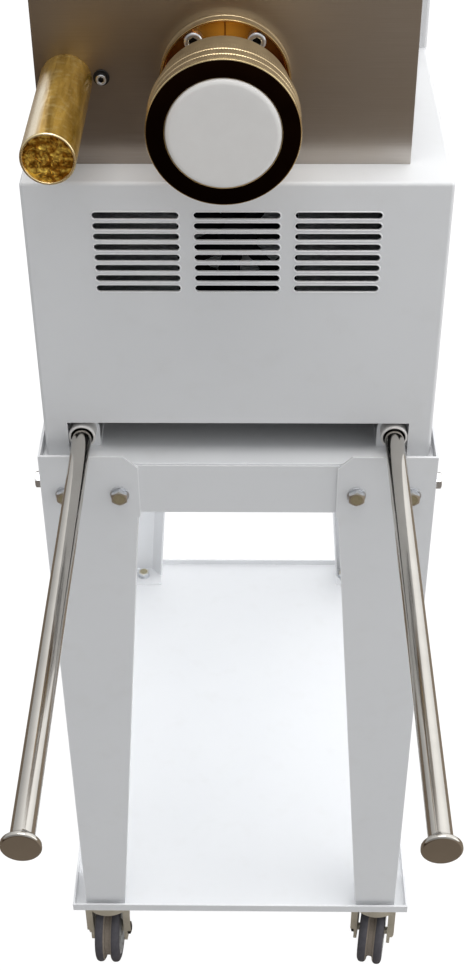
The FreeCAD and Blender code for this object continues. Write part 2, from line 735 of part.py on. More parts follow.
def mixing_tub():
    outside = tub_section(TUB_RADIUS + SHEET, PLATE_BACK, TUB_BACK, TUB_TOP)
    inside = tub_section(TUB_RADIUS, PLATE_BACK + SHEET, TUB_BACK - SHEET, TUB_TOP + 1)
    half = TUB_RADIUS + SHEET + TUB_FLANGE
    rim = box(AXIS_X - half, AXIS_X + half, PLATE_BACK, TUB_BACK, TUB_TOP - SHEET, TUB_TOP)
    holes = [rod_y(18.0, AXIS_X, MIXER_Z, PLATE_BACK - 1, PLATE_BACK + 5)]
    holes.append(rod_y(14.0, AXIS_X, MIXER_Z, TUB_BACK - 5, TUB_BACK + 1))
    return cut(fuse(outside, rim), inside, throat(), *holes)


def shaft_bushes():
    """The mixer shaft's bearings: a blind one in the front plate and an open one behind."""
    front = rod_y(18.0, AXIS_X, MIXER_Z, PLATE_FRONT - 3, PLATE_BACK + 8)
    front = front.cut(rod_y(SHAFT_RADIUS + RUNNING, AXIS_X, MIXER_Z, PLATE_FRONT, PLATE_BACK + 9))
    rear = tube_y(14.0, SHAFT_RADIUS + RUNNING, AXIS_X, MIXER_Z, TUB_BACK - 8, UPPER_FRONT)
    return stack(front, rear)


def auger():
    """The extrusion screw: a shaft with one helical flight."""
    start = PLATE_BACK + 4
    shaft = rod_y(SHAFT_RADIUS, 0, 0, start, SHAFT_BACK)
    helix = Part.Wire(Part.makeHelix(FLIGHT_PITCH, FLIGHT_LENGTH, SHAFT_RADIUS))
    root = SHAFT_RADIUS - 1
    half = FLIGHT_THICKNESS / 2
    corners = [V(root, 0, -half), V(FLIGHT_RADIUS, 0, -half), V(FLIGHT_RADIUS, 0, half), V(root, 0, half)]
    profile = Part.makePolygon(corners + corners[:1])
    flight = helix.makePipeShell([profile], True, True)
    flight.rotate(V(0, 0, 0), X_AXIS, -90)
    flight.translate(V(0, start + half + 1, 0))
    screw = fuse(shaft, flight)
    screw.translate(V(AXIS_X, 0, AUGER_Z))
    return screw


def paddle_shaft():
    shaft = rod_y(SHAFT_RADIUS, AXIS_X, MIXER_Z, PLATE_FRONT + 0.5, SHAFT_BACK)
    solids = [shaft]
    for k in range(4):
        angle = pi / 4 + k * pi / 2
        y = 10 + k * 45
        direction = V(cos(angle), 0, sin(angle))
        arm = Part.makeCylinder(5.0, PADDLE_REACH - 8, V(AXIS_X, y, MIXER_Z), direction)
        blade = box(PADDLE_REACH - 16, PADDLE_REACH, -16, 16, -3, 3)
        blade.rotate(V(0, 0, 0), X_AXIS, 30)
        blade.rotate(V(0, 0, 0), Y_AXIS, -angle * 180 / pi)
        blade.translate(V(AXIS_X, y, MIXER_Z))
        solids += [arm, blade]
    return fuse(*solids)


def involute_half_angle(radius, base, teeth):
    """Half of a tooth's angle at a radius."""
    flank = tan(PRESSURE_ANGLE) - PRESSURE_ANGLE
    pitch_radius = GEAR_MODULE * teeth / 2
    lean = acos(min(1.0, base / radius))
    return pi / (2 * teeth) - BACKLASH / (2 * pitch_radius) + flank - (tan(lean) - lean)


def gear(teeth, x, z, phase):
    """A spur gear with involute teeth, bored for the shaft. phase turns it, in tooth pitches."""
    pitch_radius = GEAR_MODULE * teeth / 2
    base = pitch_radius * cos(PRESSURE_ANGLE)
    tip = pitch_radius + 0.9 * GEAR_MODULE
    root = pitch_radius - 1.25 * GEAR_MODULE
    flank_start = max(base, root)
    steps = 4
    radii = [flank_start + (tip - flank_start) * k / steps for k in range(steps + 1)]
    points = []
    for tooth in range(teeth):
        middle = 2 * pi * (tooth + phase) / teeth
        first = middle - involute_half_angle(flank_start, base, teeth)
        last = middle + involute_half_angle(flank_start, base, teeth)
        flank = [(root, first)]
        flank += [(r, middle - involute_half_angle(r, base, teeth)) for r in radii]
        flank += [(r, middle + involute_half_angle(r, base, teeth)) for r in reversed(radii)]
        flank.append((root, last))
        points += [(x + r * cos(a), GEAR_FRONT, z + r * sin(a)) for r, a in flank]
    return prism(points, (0, GEAR_WIDTH, 0))


def main_gear(z, phase):
    blank = gear(MAIN_TEETH, AXIS_X, z, phase)
    boss_end = GEAR_FRONT + GEAR_WIDTH
    recess = tube_y(50.0, 20.0, AXIS_X, z, boss_end - 6, boss_end + 1)
    bore = rod_y(SHAFT_RADIUS, AXIS_X, z, GEAR_FRONT - 1, boss_end + 1)
    return cut(blank, bore, recess)


def motor_pinion():
    blank = gear(PINION_TEETH, MOTOR_X, AUGER_Z, 0.5)
    shaft = rod_y(7.0, MOTOR_X, AUGER_Z, GEAR_FRONT + GEAR_WIDTH - 1, MOTOR_FRONT + 20)
    return fuse(blank, shaft)


def drive_motor():
    back = MOTOR_FRONT + MOTOR_LENGTH
    body = rod_y(MOTOR_RADIUS, MOTOR_X, AUGER_Z, MOTOR_FRONT, back)
    foot = box(MOTOR_X - 40, MOTOR_X + 40, MOTOR_FRONT + 20, back - 20, HOUSING_TOP, AUGER_Z - 30)
    bore = rod_y(7.0 + RUNNING, MOTOR_X, AUGER_Z, MOTOR_FRONT - 1, MOTOR_FRONT + 22)
    return fuse(body, foot).cut(bore)


def tub_lid():
    """The lid, with a turned-up grip in front and two hinge knuckles behind."""
    half = TUB_RADIUS + SHEET + TUB_FLANGE
    top = TUB_TOP + LID_THICKNESS
    sheet = box(AXIS_X - half, AXIS_X + half, PLATE_BACK + 2, LID_BACK, TUB_TOP, top)
    grip = box(AXIS_X - 45, AXIS_X + 45, PLATE_BACK + 2, PLATE_BACK + 4, TUB_TOP, top + 22)
    knuckles = []
    for start in (-50, 20):
        x0 = AXIS_X + start
        tube = rod(5.5, (x0, HINGE_Y, HINGE_Z), 30, X_AXIS)
        tab = box(x0, x0 + 30, LID_BACK - 8, HINGE_Y, top, top + 2)
        knuckles += [tube, tab]
    pin_hole = rod(HINGE_PIN + RUNNING, (AXIS_X - 70, HINGE_Y, HINGE_Z), 140, X_AXIS)
    return cut(fuse(sheet, grip, *knuckles), pin_hole)


def lid_hinge():
    """The hinge pin in its two ears, which stand on the tub's rim."""
    pin = rod(HINGE_PIN, (AXIS_X - 66, HINGE_Y, HINGE_Z), 132, X_AXIS)
    ears = []
    for x0 in (AXIS_X - 64, AXIS_X + 56):
        ears.append(box(x0, x0 + 8, HINGE_Y - 6, HINGE_Y + 6, TUB_TOP, HINGE_Z + 6))
    return fuse(pin, *ears)


# ---------------------------------------------------------------- controls and fan

def switch_bezels():
    bezels = []
    bores = [(place, BUTTON_RADIUS) for place in BUTTONS.values()] + [(KNOB_PLACE, STEM_RADIUS)]
    for (y, z), bore in bores:
        barrel = rod(BEZEL_BARREL, (HOUSING_HALF - 20, y, z), 20, X_AXIS)
        rim = rod(BEZEL_RADIUS, (HOUSING_HALF, y, z), 3, X_AXIS)
        hole = rod(bore + RUNNING, (HOUSING_HALF - 21, y, z), 30, X_AXIS)
        bezels.append(fuse(barrel, rim).cut(hole))
    return stack(bezels)


def push_button(name):
    y, z = BUTTONS[name]
    cap = rod(BUTTON_RADIUS, (HOUSING_HALF - 12, y, z), 19, X_AXIS)
    rim = [e for e in cap.Edges if abs(e.CenterOfMass.x - HOUSING_HALF - 7) < 0.1]
    return cap.makeFillet(1.5, rim)


def selector_knob():
    y, z = KNOB_PLACE
    stem = rod(STEM_RADIUS, (HOUSING_HALF - 18, y, z), 24, X_AXIS)
    skirt = rod(13.0, (HOUSING_HALF + 3.5, y, z), 5, X_AXIS)
    grip = box(HOUSING_HALF + 8, HOUSING_HALF + 18, y - 4, y + 4, z - 12, z + 12)
    return fuse(stem, skirt, grip)


def fan_frame():
    """A square fan frame on four spacers behind the front panel."""
    back = FAN_Y + FAN_DEPTH
    body = box(-FAN_HALF, FAN_HALF, FAN_Y, back, FAN_Z - FAN_HALF, FAN_Z + FAN_HALF)
    hollow = body.cut(rod_y(FAN_BORE, 0, FAN_Z, FAN_Y - 1, back + 1))
    spokes = [box(-FAN_BORE - 1, FAN_BORE + 1, back - 3, back, FAN_Z - 2, FAN_Z + 2)]
    spokes.append(box(-2, 2, back - 3, back, FAN_Z - FAN_BORE - 1, FAN_Z + FAN_BORE + 1))
    spokes.append(rod_y(16.0, 0, FAN_Z, back - 3, back))
    spokes.append(rod_y(2.0, 0, FAN_Z, FAN_Y + 4, back - 1))
    corner = FAN_HALF - 6
    spacers = []
    for x in (-corner, corner):
        for z in (FAN_Z - corner, FAN_Z + corner):
            spacers.append(rod_y(4.0, x, z, HOUSING_FRONT + SKIN, FAN_Y))
    return fuse(hollow, *spokes, *spacers)


def fan_rotor():
    y0 = FAN_Y + 3
    y1 = FAN_Y + FAN_DEPTH - 5
    hub = rod_y(15.0, 0, 0, y0, y1)
    blades = []
    for k in range(FAN_BLADES):
        blade = box(12, FAN_BORE - 3, -1, 1, -9, 9)
        blade.rotate(V(0, 0, 0), X_AXIS, 40)
        blade.translate(V(0, (y0 + y1) / 2, 0))
        blade.rotate(V(0, 0, 0), Y_AXIS, 360 * k / FAN_BLADES)
        blades.append(blade)
    rotor = fuse(hub, *blades).cut(rod_y(2.0 + RUNNING, 0, 0, y0 - 1, y1 + 1))
    rotor.translate(V(0, 0, FAN_Z))
    return rotor


def all_parts():
    parts = {}
    parts.update(legs())
    parts.update(casters())
    parts["front_beam"] = front_beam()
    parts["rear_beam"] = rear_beam()
    parts["side_beams"] = side_beams()
    parts["lower_shelf"] = lower_shelf()
    parts["stand_bolts"] = stand_bolts()
    parts["stand_washers"] = stand_washers()
    parts["stand_nuts"] = stand_nuts()
    parts["base_pan"] = base_pan()
    parts["lower_housing"] = lower_housing()
    parts["upper_housing"] = upper_housing()
    parts["rear_cover"] = rear_cover()
    parts["cable_gland"] = cable_gland()
    parts["panel_screws"] = panel_screws()
    parts["tray_rail_left"] = tray_rail(-RAIL_X)
    parts["tray_rail_right"] = tray_rail(RAIL_X)
    parts["rail_bushes"] = rail_bushes()
    parts["front_plate"] = front_plate()
    parts["cutter_post"] = cutter_post()
    parts["die_flange"] = die_flange()
    parts["flange_screws"] = flange_screws()
    parts["ring_nut"] = ring_nut()
    parts["die_plug"] = die_plug()
    parts["extrusion_barrel"] = extrusion_barrel()
    parts["auger"] = auger()
    parts["mixing_tub"] = mixing_tub()
    parts["tub_lid"] = tub_lid()
    parts["lid_hinge"] = lid_hinge()
    parts["paddle_shaft"] = paddle_shaft()
    parts["shaft_bushes"] = shaft_bushes()
    parts["auger_gear"] = main_gear(AUGER_Z, 0.0)
    parts["paddle_gear"] = main_gear(MIXER_Z, 0.5)
    parts["motor_pinion"] = motor_pinion()
    parts["drive_motor"] = drive_motor()
    parts["switch_bezels"] = switch_bezels()
    parts["start_button"] = push_button("start_button")
    parts["stop_button"] = push_button("stop_button")
    parts["selector_knob"] = selector_knob()
    parts["fan_frame"] = fan_frame()
    parts["fan_rotor"] = fan_rotor()
    return parts


def main():
    os.makedirs("parts", exist_ok=True)
    for name, shape in all_parts().items():
        shape.exportStep("parts/" + name + ".step")
        print(name, len(shape.Solids), shape.isValid(), round(shape.Volume))


main()
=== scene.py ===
"""Looks of a small pasta extruder on a wheeled stand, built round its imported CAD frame."""

import json
import math
from collections import namedtuple

import bpy
from mathutils import Matrix, Vector, noise


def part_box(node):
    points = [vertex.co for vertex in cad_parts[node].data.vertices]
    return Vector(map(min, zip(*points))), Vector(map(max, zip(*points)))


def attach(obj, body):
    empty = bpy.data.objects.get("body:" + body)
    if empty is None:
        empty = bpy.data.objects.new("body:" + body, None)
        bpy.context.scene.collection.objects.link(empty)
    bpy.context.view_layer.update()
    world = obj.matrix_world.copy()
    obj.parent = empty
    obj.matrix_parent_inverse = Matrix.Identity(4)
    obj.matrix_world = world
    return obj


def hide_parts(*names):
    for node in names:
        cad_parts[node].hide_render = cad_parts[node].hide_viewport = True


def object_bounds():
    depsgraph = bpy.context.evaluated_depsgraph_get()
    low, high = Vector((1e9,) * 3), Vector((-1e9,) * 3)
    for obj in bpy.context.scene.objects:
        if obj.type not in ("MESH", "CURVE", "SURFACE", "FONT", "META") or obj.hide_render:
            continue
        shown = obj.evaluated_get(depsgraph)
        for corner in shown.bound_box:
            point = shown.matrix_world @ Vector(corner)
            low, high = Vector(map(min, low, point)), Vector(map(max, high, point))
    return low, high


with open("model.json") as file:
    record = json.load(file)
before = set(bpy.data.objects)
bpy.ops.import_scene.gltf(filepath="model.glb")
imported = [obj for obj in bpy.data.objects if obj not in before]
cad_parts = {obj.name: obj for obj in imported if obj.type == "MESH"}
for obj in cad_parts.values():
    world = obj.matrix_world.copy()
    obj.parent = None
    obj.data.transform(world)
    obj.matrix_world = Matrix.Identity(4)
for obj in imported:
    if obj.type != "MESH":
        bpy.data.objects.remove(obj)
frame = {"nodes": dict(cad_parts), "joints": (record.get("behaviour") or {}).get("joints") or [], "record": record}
cad_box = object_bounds()
NODES = frame["nodes"]
JOINTS = {joint["name"]: joint for joint in frame["joints"]}
SLOT_OF = {part["node"]: part["material_slot"] for part in frame["record"]["subparts"]}
MM = 0.001
X_AXIS = Vector((1, 0, 0))
Y_AXIS = Vector((0, 1, 0))


# ---------------------------------------------------------------- camera, light and floor

def make_camera():
    """The camera stands in front of the machine, above it, and looks down at it."""
    place = (0.0132, -1.065, 1.4755)
    pitch = math.radians(39.147)
    yaw = math.radians(-0.910)
    roll = math.radians(-0.382)
    forward = Vector((math.sin(yaw) * math.cos(pitch), math.cos(yaw) * math.cos(pitch), -math.sin(pitch)))
    right = Vector((math.cos(yaw), -math.sin(yaw), 0))
    up = right.cross(forward)
    side = math.cos(roll) * right + math.sin(roll) * up
    top = -math.sin(roll) * right + math.cos(roll) * up
    data = bpy.data.cameras.new("camera")
    data.sensor_width = 36.0
    data.lens = 56.28
    data.shift_y = 0.0154
    camera = bpy.data.objects.new("camera", data)
    bpy.context.scene.collection.objects.link(camera)
    axes = Matrix((side, top, -forward)).transposed()
    camera.matrix_world = Matrix.Translation(place) @ axes.to_4x4()
    bpy.context.scene.camera = camera


def softbox(name, place, target, size, watts, colour):
    """A square area light at place that faces target."""
    data = bpy.data.lights.new(name, "AREA")
    data.size = size
    data.energy = watts
    data.color = colour
    light = bpy.data.objects.new(name, data)
    bpy.context.scene.collection.objects.link(light)
    light.location = place
    light.rotation_euler = (Vector(target) - Vector(place)).to_track_quat("-Z", "Y").to_euler()
    return light


def make_lights():
    """One softbox over the front, one far out on the right, and a small hidden one under the base that lifts
    the shelf and the rear legs."""
    machine = (0, 0.1, 0.8)
    below_front = (0.1, -0.21, 0.0)
    rear_legs = (0.0, 0.45, 0.40)
    softbox("overhead_softbox", (0.1, -0.22, 3.4), below_front, 1.6, 34.0, (1.0, 0.99, 0.97))
    softbox("right_softbox", (2.6, -0.6, 1.6), machine, 1.6, 9.0, (1.0, 0.98, 0.95))
    under = softbox("under_softbox", (0.0, 0.03, 0.62), rear_legs, 0.2, 1.3, (0.96, 0.98, 1.0))
    under.visible_camera = False
    under.visible_glossy = False


def make_world():
    """A white studio, brightest overhead and to the right and dim in front, so that fronts read as grey."""
    world = bpy.data.worlds.new("studio")
    bpy.context.scene.world = world
    world.use_nodes = True
    nodes = world.node_tree.nodes
    links = world.node_tree.links
    nodes.clear()
    direction = nodes.new("ShaderNodeTexCoord").outputs["Generated"]
    split = nodes.new("ShaderNodeSeparateXYZ")
    links.new(direction, split.inputs[0])
    strength = None
    # The strength is a product of slopes, each (axis, start, end, factor before start, factor past end).
    slopes = (("Z", 0.0, 0.9, 1.0, 1.5), ("Y", -0.75, 0.05, 0.42, 1.0), ("X", -1.0, 1.0, 0.50, 1.2))
    for axis, start, end, low, high in slopes:
        ramp = nodes.new("ShaderNodeMapRange")
        ramp.interpolation_type = "SMOOTHSTEP"
        links.new(split.outputs[axis], ramp.inputs["Value"])
        for socket, number in (("From Min", start), ("From Max", end), ("To Min", low), ("To Max", high)):
            ramp.inputs[socket].default_value = number
        if strength is None:
            strength = ramp.outputs[0]
            continue
        product = nodes.new("ShaderNodeMath")
        product.operation = "MULTIPLY"
        links.new(strength, product.inputs[0])
        links.new(ramp.outputs[0], product.inputs[1])
        strength = product.outputs[0]
    lighting = nodes.new("ShaderNodeBackground")
    lighting.inputs["Color"].default_value = (0.97, 0.985, 1.0, 1.0)
    links.new(strength, lighting.inputs["Strength"])
    seen = nodes.new("ShaderNodeBackground")
    seen.inputs["Color"].default_value = (1.0, 1.0, 1.0, 1.0)
    path = nodes.new("ShaderNodeLightPath")
    choose = nodes.new("ShaderNodeMixShader")
    links.new(path.outputs["Is Camera Ray"], choose.inputs[0])
    links.new(lighting.outputs[0], choose.inputs[1])
    links.new(seen.outputs[0], choose.inputs[2])
    output = nodes.new("ShaderNodeOutputWorld")
    links.new(choose.outputs[0], output.inputs["Surface"])


def make_floor():
    """A wide floor at the height of the wheels' lowest points."""
    half = 14.0
    ground = cad_box[0].z
    mesh = bpy.data.meshes.new("floor")
    corners = [(-half, -half, ground), (half, -half, ground), (half, half, ground), (-half, half, ground)]
    mesh.from_pydata(corners, [], [(0, 1, 2, 3)])
    floor = bpy.data.objects.new("floor", mesh)
    bpy.context.scene.collection.objects.link(floor)
    mesh.materials.append(floor_paint())


# ---------------------------------------------------------------- material nodes

class Surface:
    """A principled material and the procedural nodes that feed it. Sizes are in millimetres."""

    def __init__(self, name, metallic=0.0):
        self.material = bpy.data.materials.new(name)
        self.material.use_nodes = True
        self.nodes = self.material.node_tree.nodes
        self.links = self.material.node_tree.links
        self.nodes.clear()
        self.shader = self.nodes.new("ShaderNodeBsdfPrincipled")
        self.output = self.nodes.new("ShaderNodeOutputMaterial")
        self.links.new(self.shader.outputs["BSDF"], self.output.inputs["Surface"])
        self.place = self.nodes.new("ShaderNodeTexCoord").outputs["Object"]
        self.set("Metallic", metallic)

    def feed(self, socket, value):
        """Gives a socket a number, a colour or another node's output."""
        if isinstance(value, bpy.types.NodeSocket):
            self.links.new(value, socket)
        elif isinstance(value, tuple) and socket.type == "RGBA":
            socket.default_value = (*value, 1.0)
        else:
            socket.default_value = value

    def set(self, socket, value):
        self.feed(self.shader.inputs[socket], value)

    def stretched(self, x, y, z):
        """Object coordinates with each axis drawn out by that factor."""
        mapping = self.nodes.new("ShaderNodeMapping")
        mapping.inputs["Scale"].default_value = (1 / x, 1 / y, 1 / z)
        self.links.new(self.place, mapping.inputs["Vector"])
        return mapping.outputs[0]

    def noise(self, size, detail, place=None, distortion=0.0):
        """Cloudy noise whose lumps are about size across."""
        cloud = self.nodes.new("ShaderNodeTexNoise")
        cloud.inputs["Scale"].default_value = 1 / (size * MM)
        cloud.inputs["Detail"].default_value = detail
        cloud.inputs["Distortion"].default_value = distortion
        self.links.new(place or self.place, cloud.inputs["Vector"])
        return cloud.outputs[0]

    def cells(self, size):
        """Crystal-like cells, each with a grey of its own."""
        voronoi = self.nodes.new("ShaderNodeTexVoronoi")
        voronoi.inputs["Scale"].default_value = 1 / (size * MM)
        self.links.new(self.place, voronoi.inputs["Vector"])
        grey = self.nodes.new("ShaderNodeRGBToBW")
        self.links.new(voronoi.outputs["Color"], grey.inputs[0])
        return grey.outputs[0]

    def spread(self, value, low, high, start=0.0, end=1.0):
        """Maps start..end onto low..high, and clamps."""
        ranged = self.nodes.new("ShaderNodeMapRange")
        self.feed(ranged.inputs["Value"], value)
        for socket, number in (("From Min", start), ("From Max", end), ("To Min", low), ("To Max", high)):
            self.feed(ranged.inputs[socket], number)
        return ranged.outputs[0]

    def combine(self, first, second, operation="ADD"):
        """Joins two numbers or outputs with a Math node."""
        maths = self.nodes.new("ShaderNodeMath")
        maths.operation = operation
        self.feed(maths.inputs[0], first)
        self.feed(maths.inputs[1], second)
        return maths.outputs[0]

    def mix(self, factor, first, second):
        """Goes from colour first to colour second as factor goes from 0 to 1."""
        blend = self.nodes.new("ShaderNodeMix")
        blend.data_type = "RGBA"
        self.feed(blend.inputs[0], factor)
        self.feed(blend.inputs[6], first)
        self.feed(blend.inputs[7], second)
        return blend.outputs[2]

    def axis_radius(self):
        """Distance in metres from the object's own Z axis."""
        flat = self.nodes.new("ShaderNodeVectorMath")
        flat.operation = "MULTIPLY"
        self.links.new(self.place, flat.inputs[0])
        flat.inputs[1].default_value = (1, 1, 0)
        length = self.nodes.new("ShaderNodeVectorMath")
        length.operation = "LENGTH"
        self.links.new(flat.outputs[0], length.inputs[0])
        return length.outputs["Value"]

    def coordinate(self, axis):
        """One of the object's own coordinates, in metres."""
        split = self.nodes.new("ShaderNodeSeparateXYZ")
        self.links.new(self.place, split.inputs[0])
        return split.outputs[axis]

    def edges(self, radius):
        """1 along sharp outer and inner edges, fading to 0 on flat faces."""
        bevel = self.nodes.new("ShaderNodeBevel")
        bevel.samples = 4
        bevel.inputs["Radius"].default_value = radius * MM
        true_normal = self.nodes.new("ShaderNodeNewGeometry").outputs["Normal"]
        product = self.nodes.new("ShaderNodeVectorMath")
        product.operation = "DOT_PRODUCT"
        self.links.new(bevel.outputs[0], product.inputs[0])
        self.links.new(true_normal, product.inputs[1])
        return self.spread(product.outputs["Value"], 1.0, 0.0, 0.90, 0.995)

    def bump(self, *layers):
        """Each layer is (height, depth in mm). They are added up from the first."""
        normal = None
        for height, depth in layers:
            node = self.nodes.new("ShaderNodeBump")
            node.inputs["Distance"].default_value = depth * MM
            self.links.new(height, node.inputs["Height"])
            if normal:
                self.links.new(normal, node.inputs["Normal"])
            normal = node.outputs[0]
        self.set("Normal", normal)


# ---------------------------------------------------------------- materials

def floor_paint():
    """Pale floor that glows a little for the camera, as a lit backdrop does. To polished metal it shows a painted
    reflection
    instead: a dull warm glow, darkest where a photographer would stand, which keeps metal from going white."""
    s = Surface("pale_floor")
    pale = s.spread(s.coordinate("X"), 0.50, 0.74, -1.5, 1.5)
    s.set("Base Color", s.mix(pale, (0.0, 0.0, 0.0), (1.0, 1.0, 1.0)))
    s.set("Roughness", 0.9)
    path = s.nodes.new("ShaderNodeLightPath")
    glow = s.nodes.new("ShaderNodeEmission")
    glow.inputs["Strength"].default_value = 1.15
    lit = s.nodes.new("ShaderNodeMixShader")
    s.feed(lit.inputs[0], s.combine(path.outputs["Is Camera Ray"], 0.85, "MULTIPLY"))
    s.links.new(s.shader.outputs[0], lit.inputs[1])
    s.links.new(glow.outputs[0], lit.inputs[2])
    # Painted reflection: glossy rays see a dull warm glow, darkest from 1.7 m to 2.4 m in front and on the left,
    # paler beyond, nearer and to the right.
    far = s.spread(s.coordinate("Y"), 1.0, 0.0, -3.1, -2.4)
    near = s.spread(s.coordinate("Y"), 0.0, 0.6, -1.7, -1.1)
    right = s.spread(s.coordinate("X"), 0.0, 1.0, 0.0, 0.6)
    painted_reflection = s.nodes.new("ShaderNodeEmission")
    light = s.combine(s.combine(far, near, "MAXIMUM"), right, "MAXIMUM")
    s.feed(painted_reflection.inputs["Color"], s.mix(light, (0.042, 0.026, 0.016), (0.33, 0.275, 0.22)))
    choose = s.nodes.new("ShaderNodeMixShader")
    s.links.new(path.outputs["Is Glossy Ray"], choose.inputs[0])
    s.links.new(lit.outputs[0], choose.inputs[1])
    s.links.new(painted_reflection.outputs[0], choose.inputs[2])
    s.links.new(choose.outputs[0], s.output.inputs["Surface"])
    return s.material


def powder_coat(name="powder_coat", shade=(0.735, 0.742, 0.756), tint=(0.765, 0.770, 0.780), painted_dark_inside=False):
    """White powder coat on sheet steel: orange peel, a little dust, a painted highlight that makes every edge
    paler, and edges here and there worn. The variant for the lower housing has painted shade: near black inside."""
    s = Surface(name)
    cloud = s.noise(90, 4)
    dust = s.spread(s.noise(22, 6), 0.0, 1.0, 0.55, 0.80)
    clean = s.mix(cloud, shade, tint)
    dusty = s.mix(s.combine(dust, 0.10, "MULTIPLY"), clean, (0.56, 0.54, 0.50))
    # Painted highlight: every edge within about 1.3 mm turns almost white.
    painted_edge_highlight = s.mix(s.edges(1.3), dusty, (0.95, 0.95, 0.96))
    worn = s.combine(s.edges(0.6), s.spread(s.noise(3, 5), 0.0, 0.35, 0.58, 0.80), "MULTIPLY")
    coat = s.mix(worn, painted_edge_highlight, (0.52, 0.51, 0.49))
    # Painted shade: the faces inside the lower housing's skin are near black.
    if painted_dark_inside:
        low, high = span("lower_housing")
        skin = 1.4
        beside = s.combine(s.coordinate("X"), 0.0, "ABSOLUTE")
        inside = s.spread(beside, 1.0, 0.0, *step_at(high.x - skin))
        behind = s.spread(s.coordinate("Y"), 0.0, 1.0, *step_at(low.y + skin))
        under = s.spread(s.coordinate("Z"), 1.0, 0.0, *step_at(high.z - skin))
        painted_inside_shade = s.combine(s.combine(inside, behind, "MULTIPLY"), under, "MULTIPLY")
        coat = s.mix(painted_inside_shade, coat, s.mix(s.noise(12, 4), (0.016, 0.016, 0.018), (0.032, 0.032, 0.034)))
    s.set("Base Color", coat)
    s.set("Roughness", s.spread(cloud, 0.34, 0.46))
    s.set("Specular IOR Level", 0.45)
    s.bump((s.noise(1.6, 2), 0.02), (s.noise(40, 1), 0.12))
    return s.material


def step_at(edge):
    """The start and end, in metres, of a step 0.1 mm wide at edge, in mm."""
    return (edge - 0.05) * MM, (edge + 0.05) * MM


def zinc_plate():
    """Zinc-plated pressings with a cream passivation and a fine spangle."""
    s = Surface("zinc_plate", 0.55)
    spangle = s.cells(2.6)
    tint = s.mix(s.noise(14, 3), (0.62, 0.57, 0.45), (0.76, 0.72, 0.61))
    s.set("Base Color", s.mix(s.combine(spangle, 0.35, "MULTIPLY"), tint, (0.82, 0.78, 0.68)))
    s.set("Roughness", s.spread(spangle, 0.34, 0.52))
    s.bump((s.noise(0.8, 3), 0.02))
    return s.material


def black_oxide():
    """Blackened steel with a slight sheen."""
    s = Surface("black_oxide_steel", 0.7)
    s.set("Base Color", s.mix(s.noise(3, 3), (0.018, 0.018, 0.020), (0.050, 0.048, 0.045)))
    s.set("Roughness", s.spread(s.noise(2, 2), 0.30, 0.5))
    s.bump((s.noise(0.6, 2), 0.015))
    return s.material


def hub_nylon():
    """Scuffed grey nylon of the wheel hubs."""
    s = Surface("grey_nylon")
    scuffs = s.spread(s.noise(4, 6), 0.0, 1.0, 0.5, 0.75)
    s.set("Base Color", s.mix(scuffs, (0.44, 0.44, 0.43), (0.30, 0.29, 0.28)))
    s.set("Roughness", 0.5)
    s.bump((s.noise(0.7, 2), 0.02))
    return s.material


def wheel_rubber():
    """Dark purplish rubber with paler clouds."""
    s = Surface("tread_rubber")
    s.set("Base Color", s.mix(s.noise(6, 4), (0.045, 0.043, 0.055), (0.095, 0.090, 0.100)))
    s.set("Roughness", s.spread(s.noise(5, 3), 0.50, 0.75))
    s.bump((s.noise(0.9, 3), 0.05))
    return s.material


def tread_dust():
    """Tan dust that has settled in the groove between the treads."""
    s = Surface("tread_dust")
    s.set("Base Color", s.mix(s.noise(2.5, 4), (0.23, 0.19, 0.15), (0.36, 0.31, 0.26)))
    s.set("Roughness", 0.85)
    s.bump((s.noise(0.7, 3), 0.06))
    return s.material


def socket_shadow():
    """Painted shadow for the inside of a screw's socket: near black, with a little gloss."""
    s = Surface("socket_shadow", 0.5)
    s.set("Base Color", s.mix(s.noise(1.5, 3), (0.010, 0.010, 0.010), (0.030, 0.028, 0.026)))
    s.set("Roughness", 0.45)
    return s.material


def plated_bolt():
    """Dull olive passivation with brighter rubbed corners."""
    s = Surface("olive_plating", 0.65)
    tint = s.mix(s.noise(3, 3), (0.38, 0.33, 0.20), (0.58, 0.52, 0.36))
    s.set("Base Color", s.mix(s.edges(0.5), tint, (0.78, 0.74, 0.62)))
    s.set("Roughness", s.spread(s.noise(1.2, 3), 0.28, 0.48))
    s.bump((s.noise(0.5, 2), 0.015))
    return s.material


def bright_washer():
    """Bright zinc plate of the washers and screw heads."""
    s = Surface("bright_zinc", 0.9)
    s.set("Base Color", s.mix(s.noise(2, 3), (0.62, 0.64, 0.68), (0.82, 0.83, 0.84)))
    s.set("Roughness", s.spread(s.noise(1.0, 3), 0.22, 0.40))
    s.bump((s.noise(0.6, 2), 0.01))
    return s.material


def chrome():
    """Polished rod with fine scratches along it and faint marks across it."""
    s = Surface("hard_chrome", 1.0)
    scratches = s.noise(0.7, 2, s.stretched(60, 1, 60))
    marks = s.noise(0.8, 3, s.stretched(1, 70, 1))
    s.set("Base Color", s.mix(s.noise(30, 3), (0.52, 0.49, 0.45), (0.66, 0.63, 0.58)))
    s.set("Roughness", s.combine(s.spread(marks, 0.06, 0.16), s.spread(scratches, 0.0, 0.06)))
    s.bump((scratches, 0.003), (marks, 0.004))
    return s.material


def white_nylon():
    """White nylon with a slightly waxy surface."""
    s = Surface("white_nylon")
    cloud = s.noise(12, 4)
    s.set("Base Color", s.mix(cloud, (0.73, 0.71, 0.69), (0.78, 0.765, 0.745)))
    s.set("Roughness", s.spread(cloud, 0.38, 0.52))
    s.set("Subsurface Weight", 0.15)
    s.set("Subsurface Radius", (0.004, 0.004, 0.004))
    s.bump((s.noise(0.8, 2), 0.012))
    return s.material


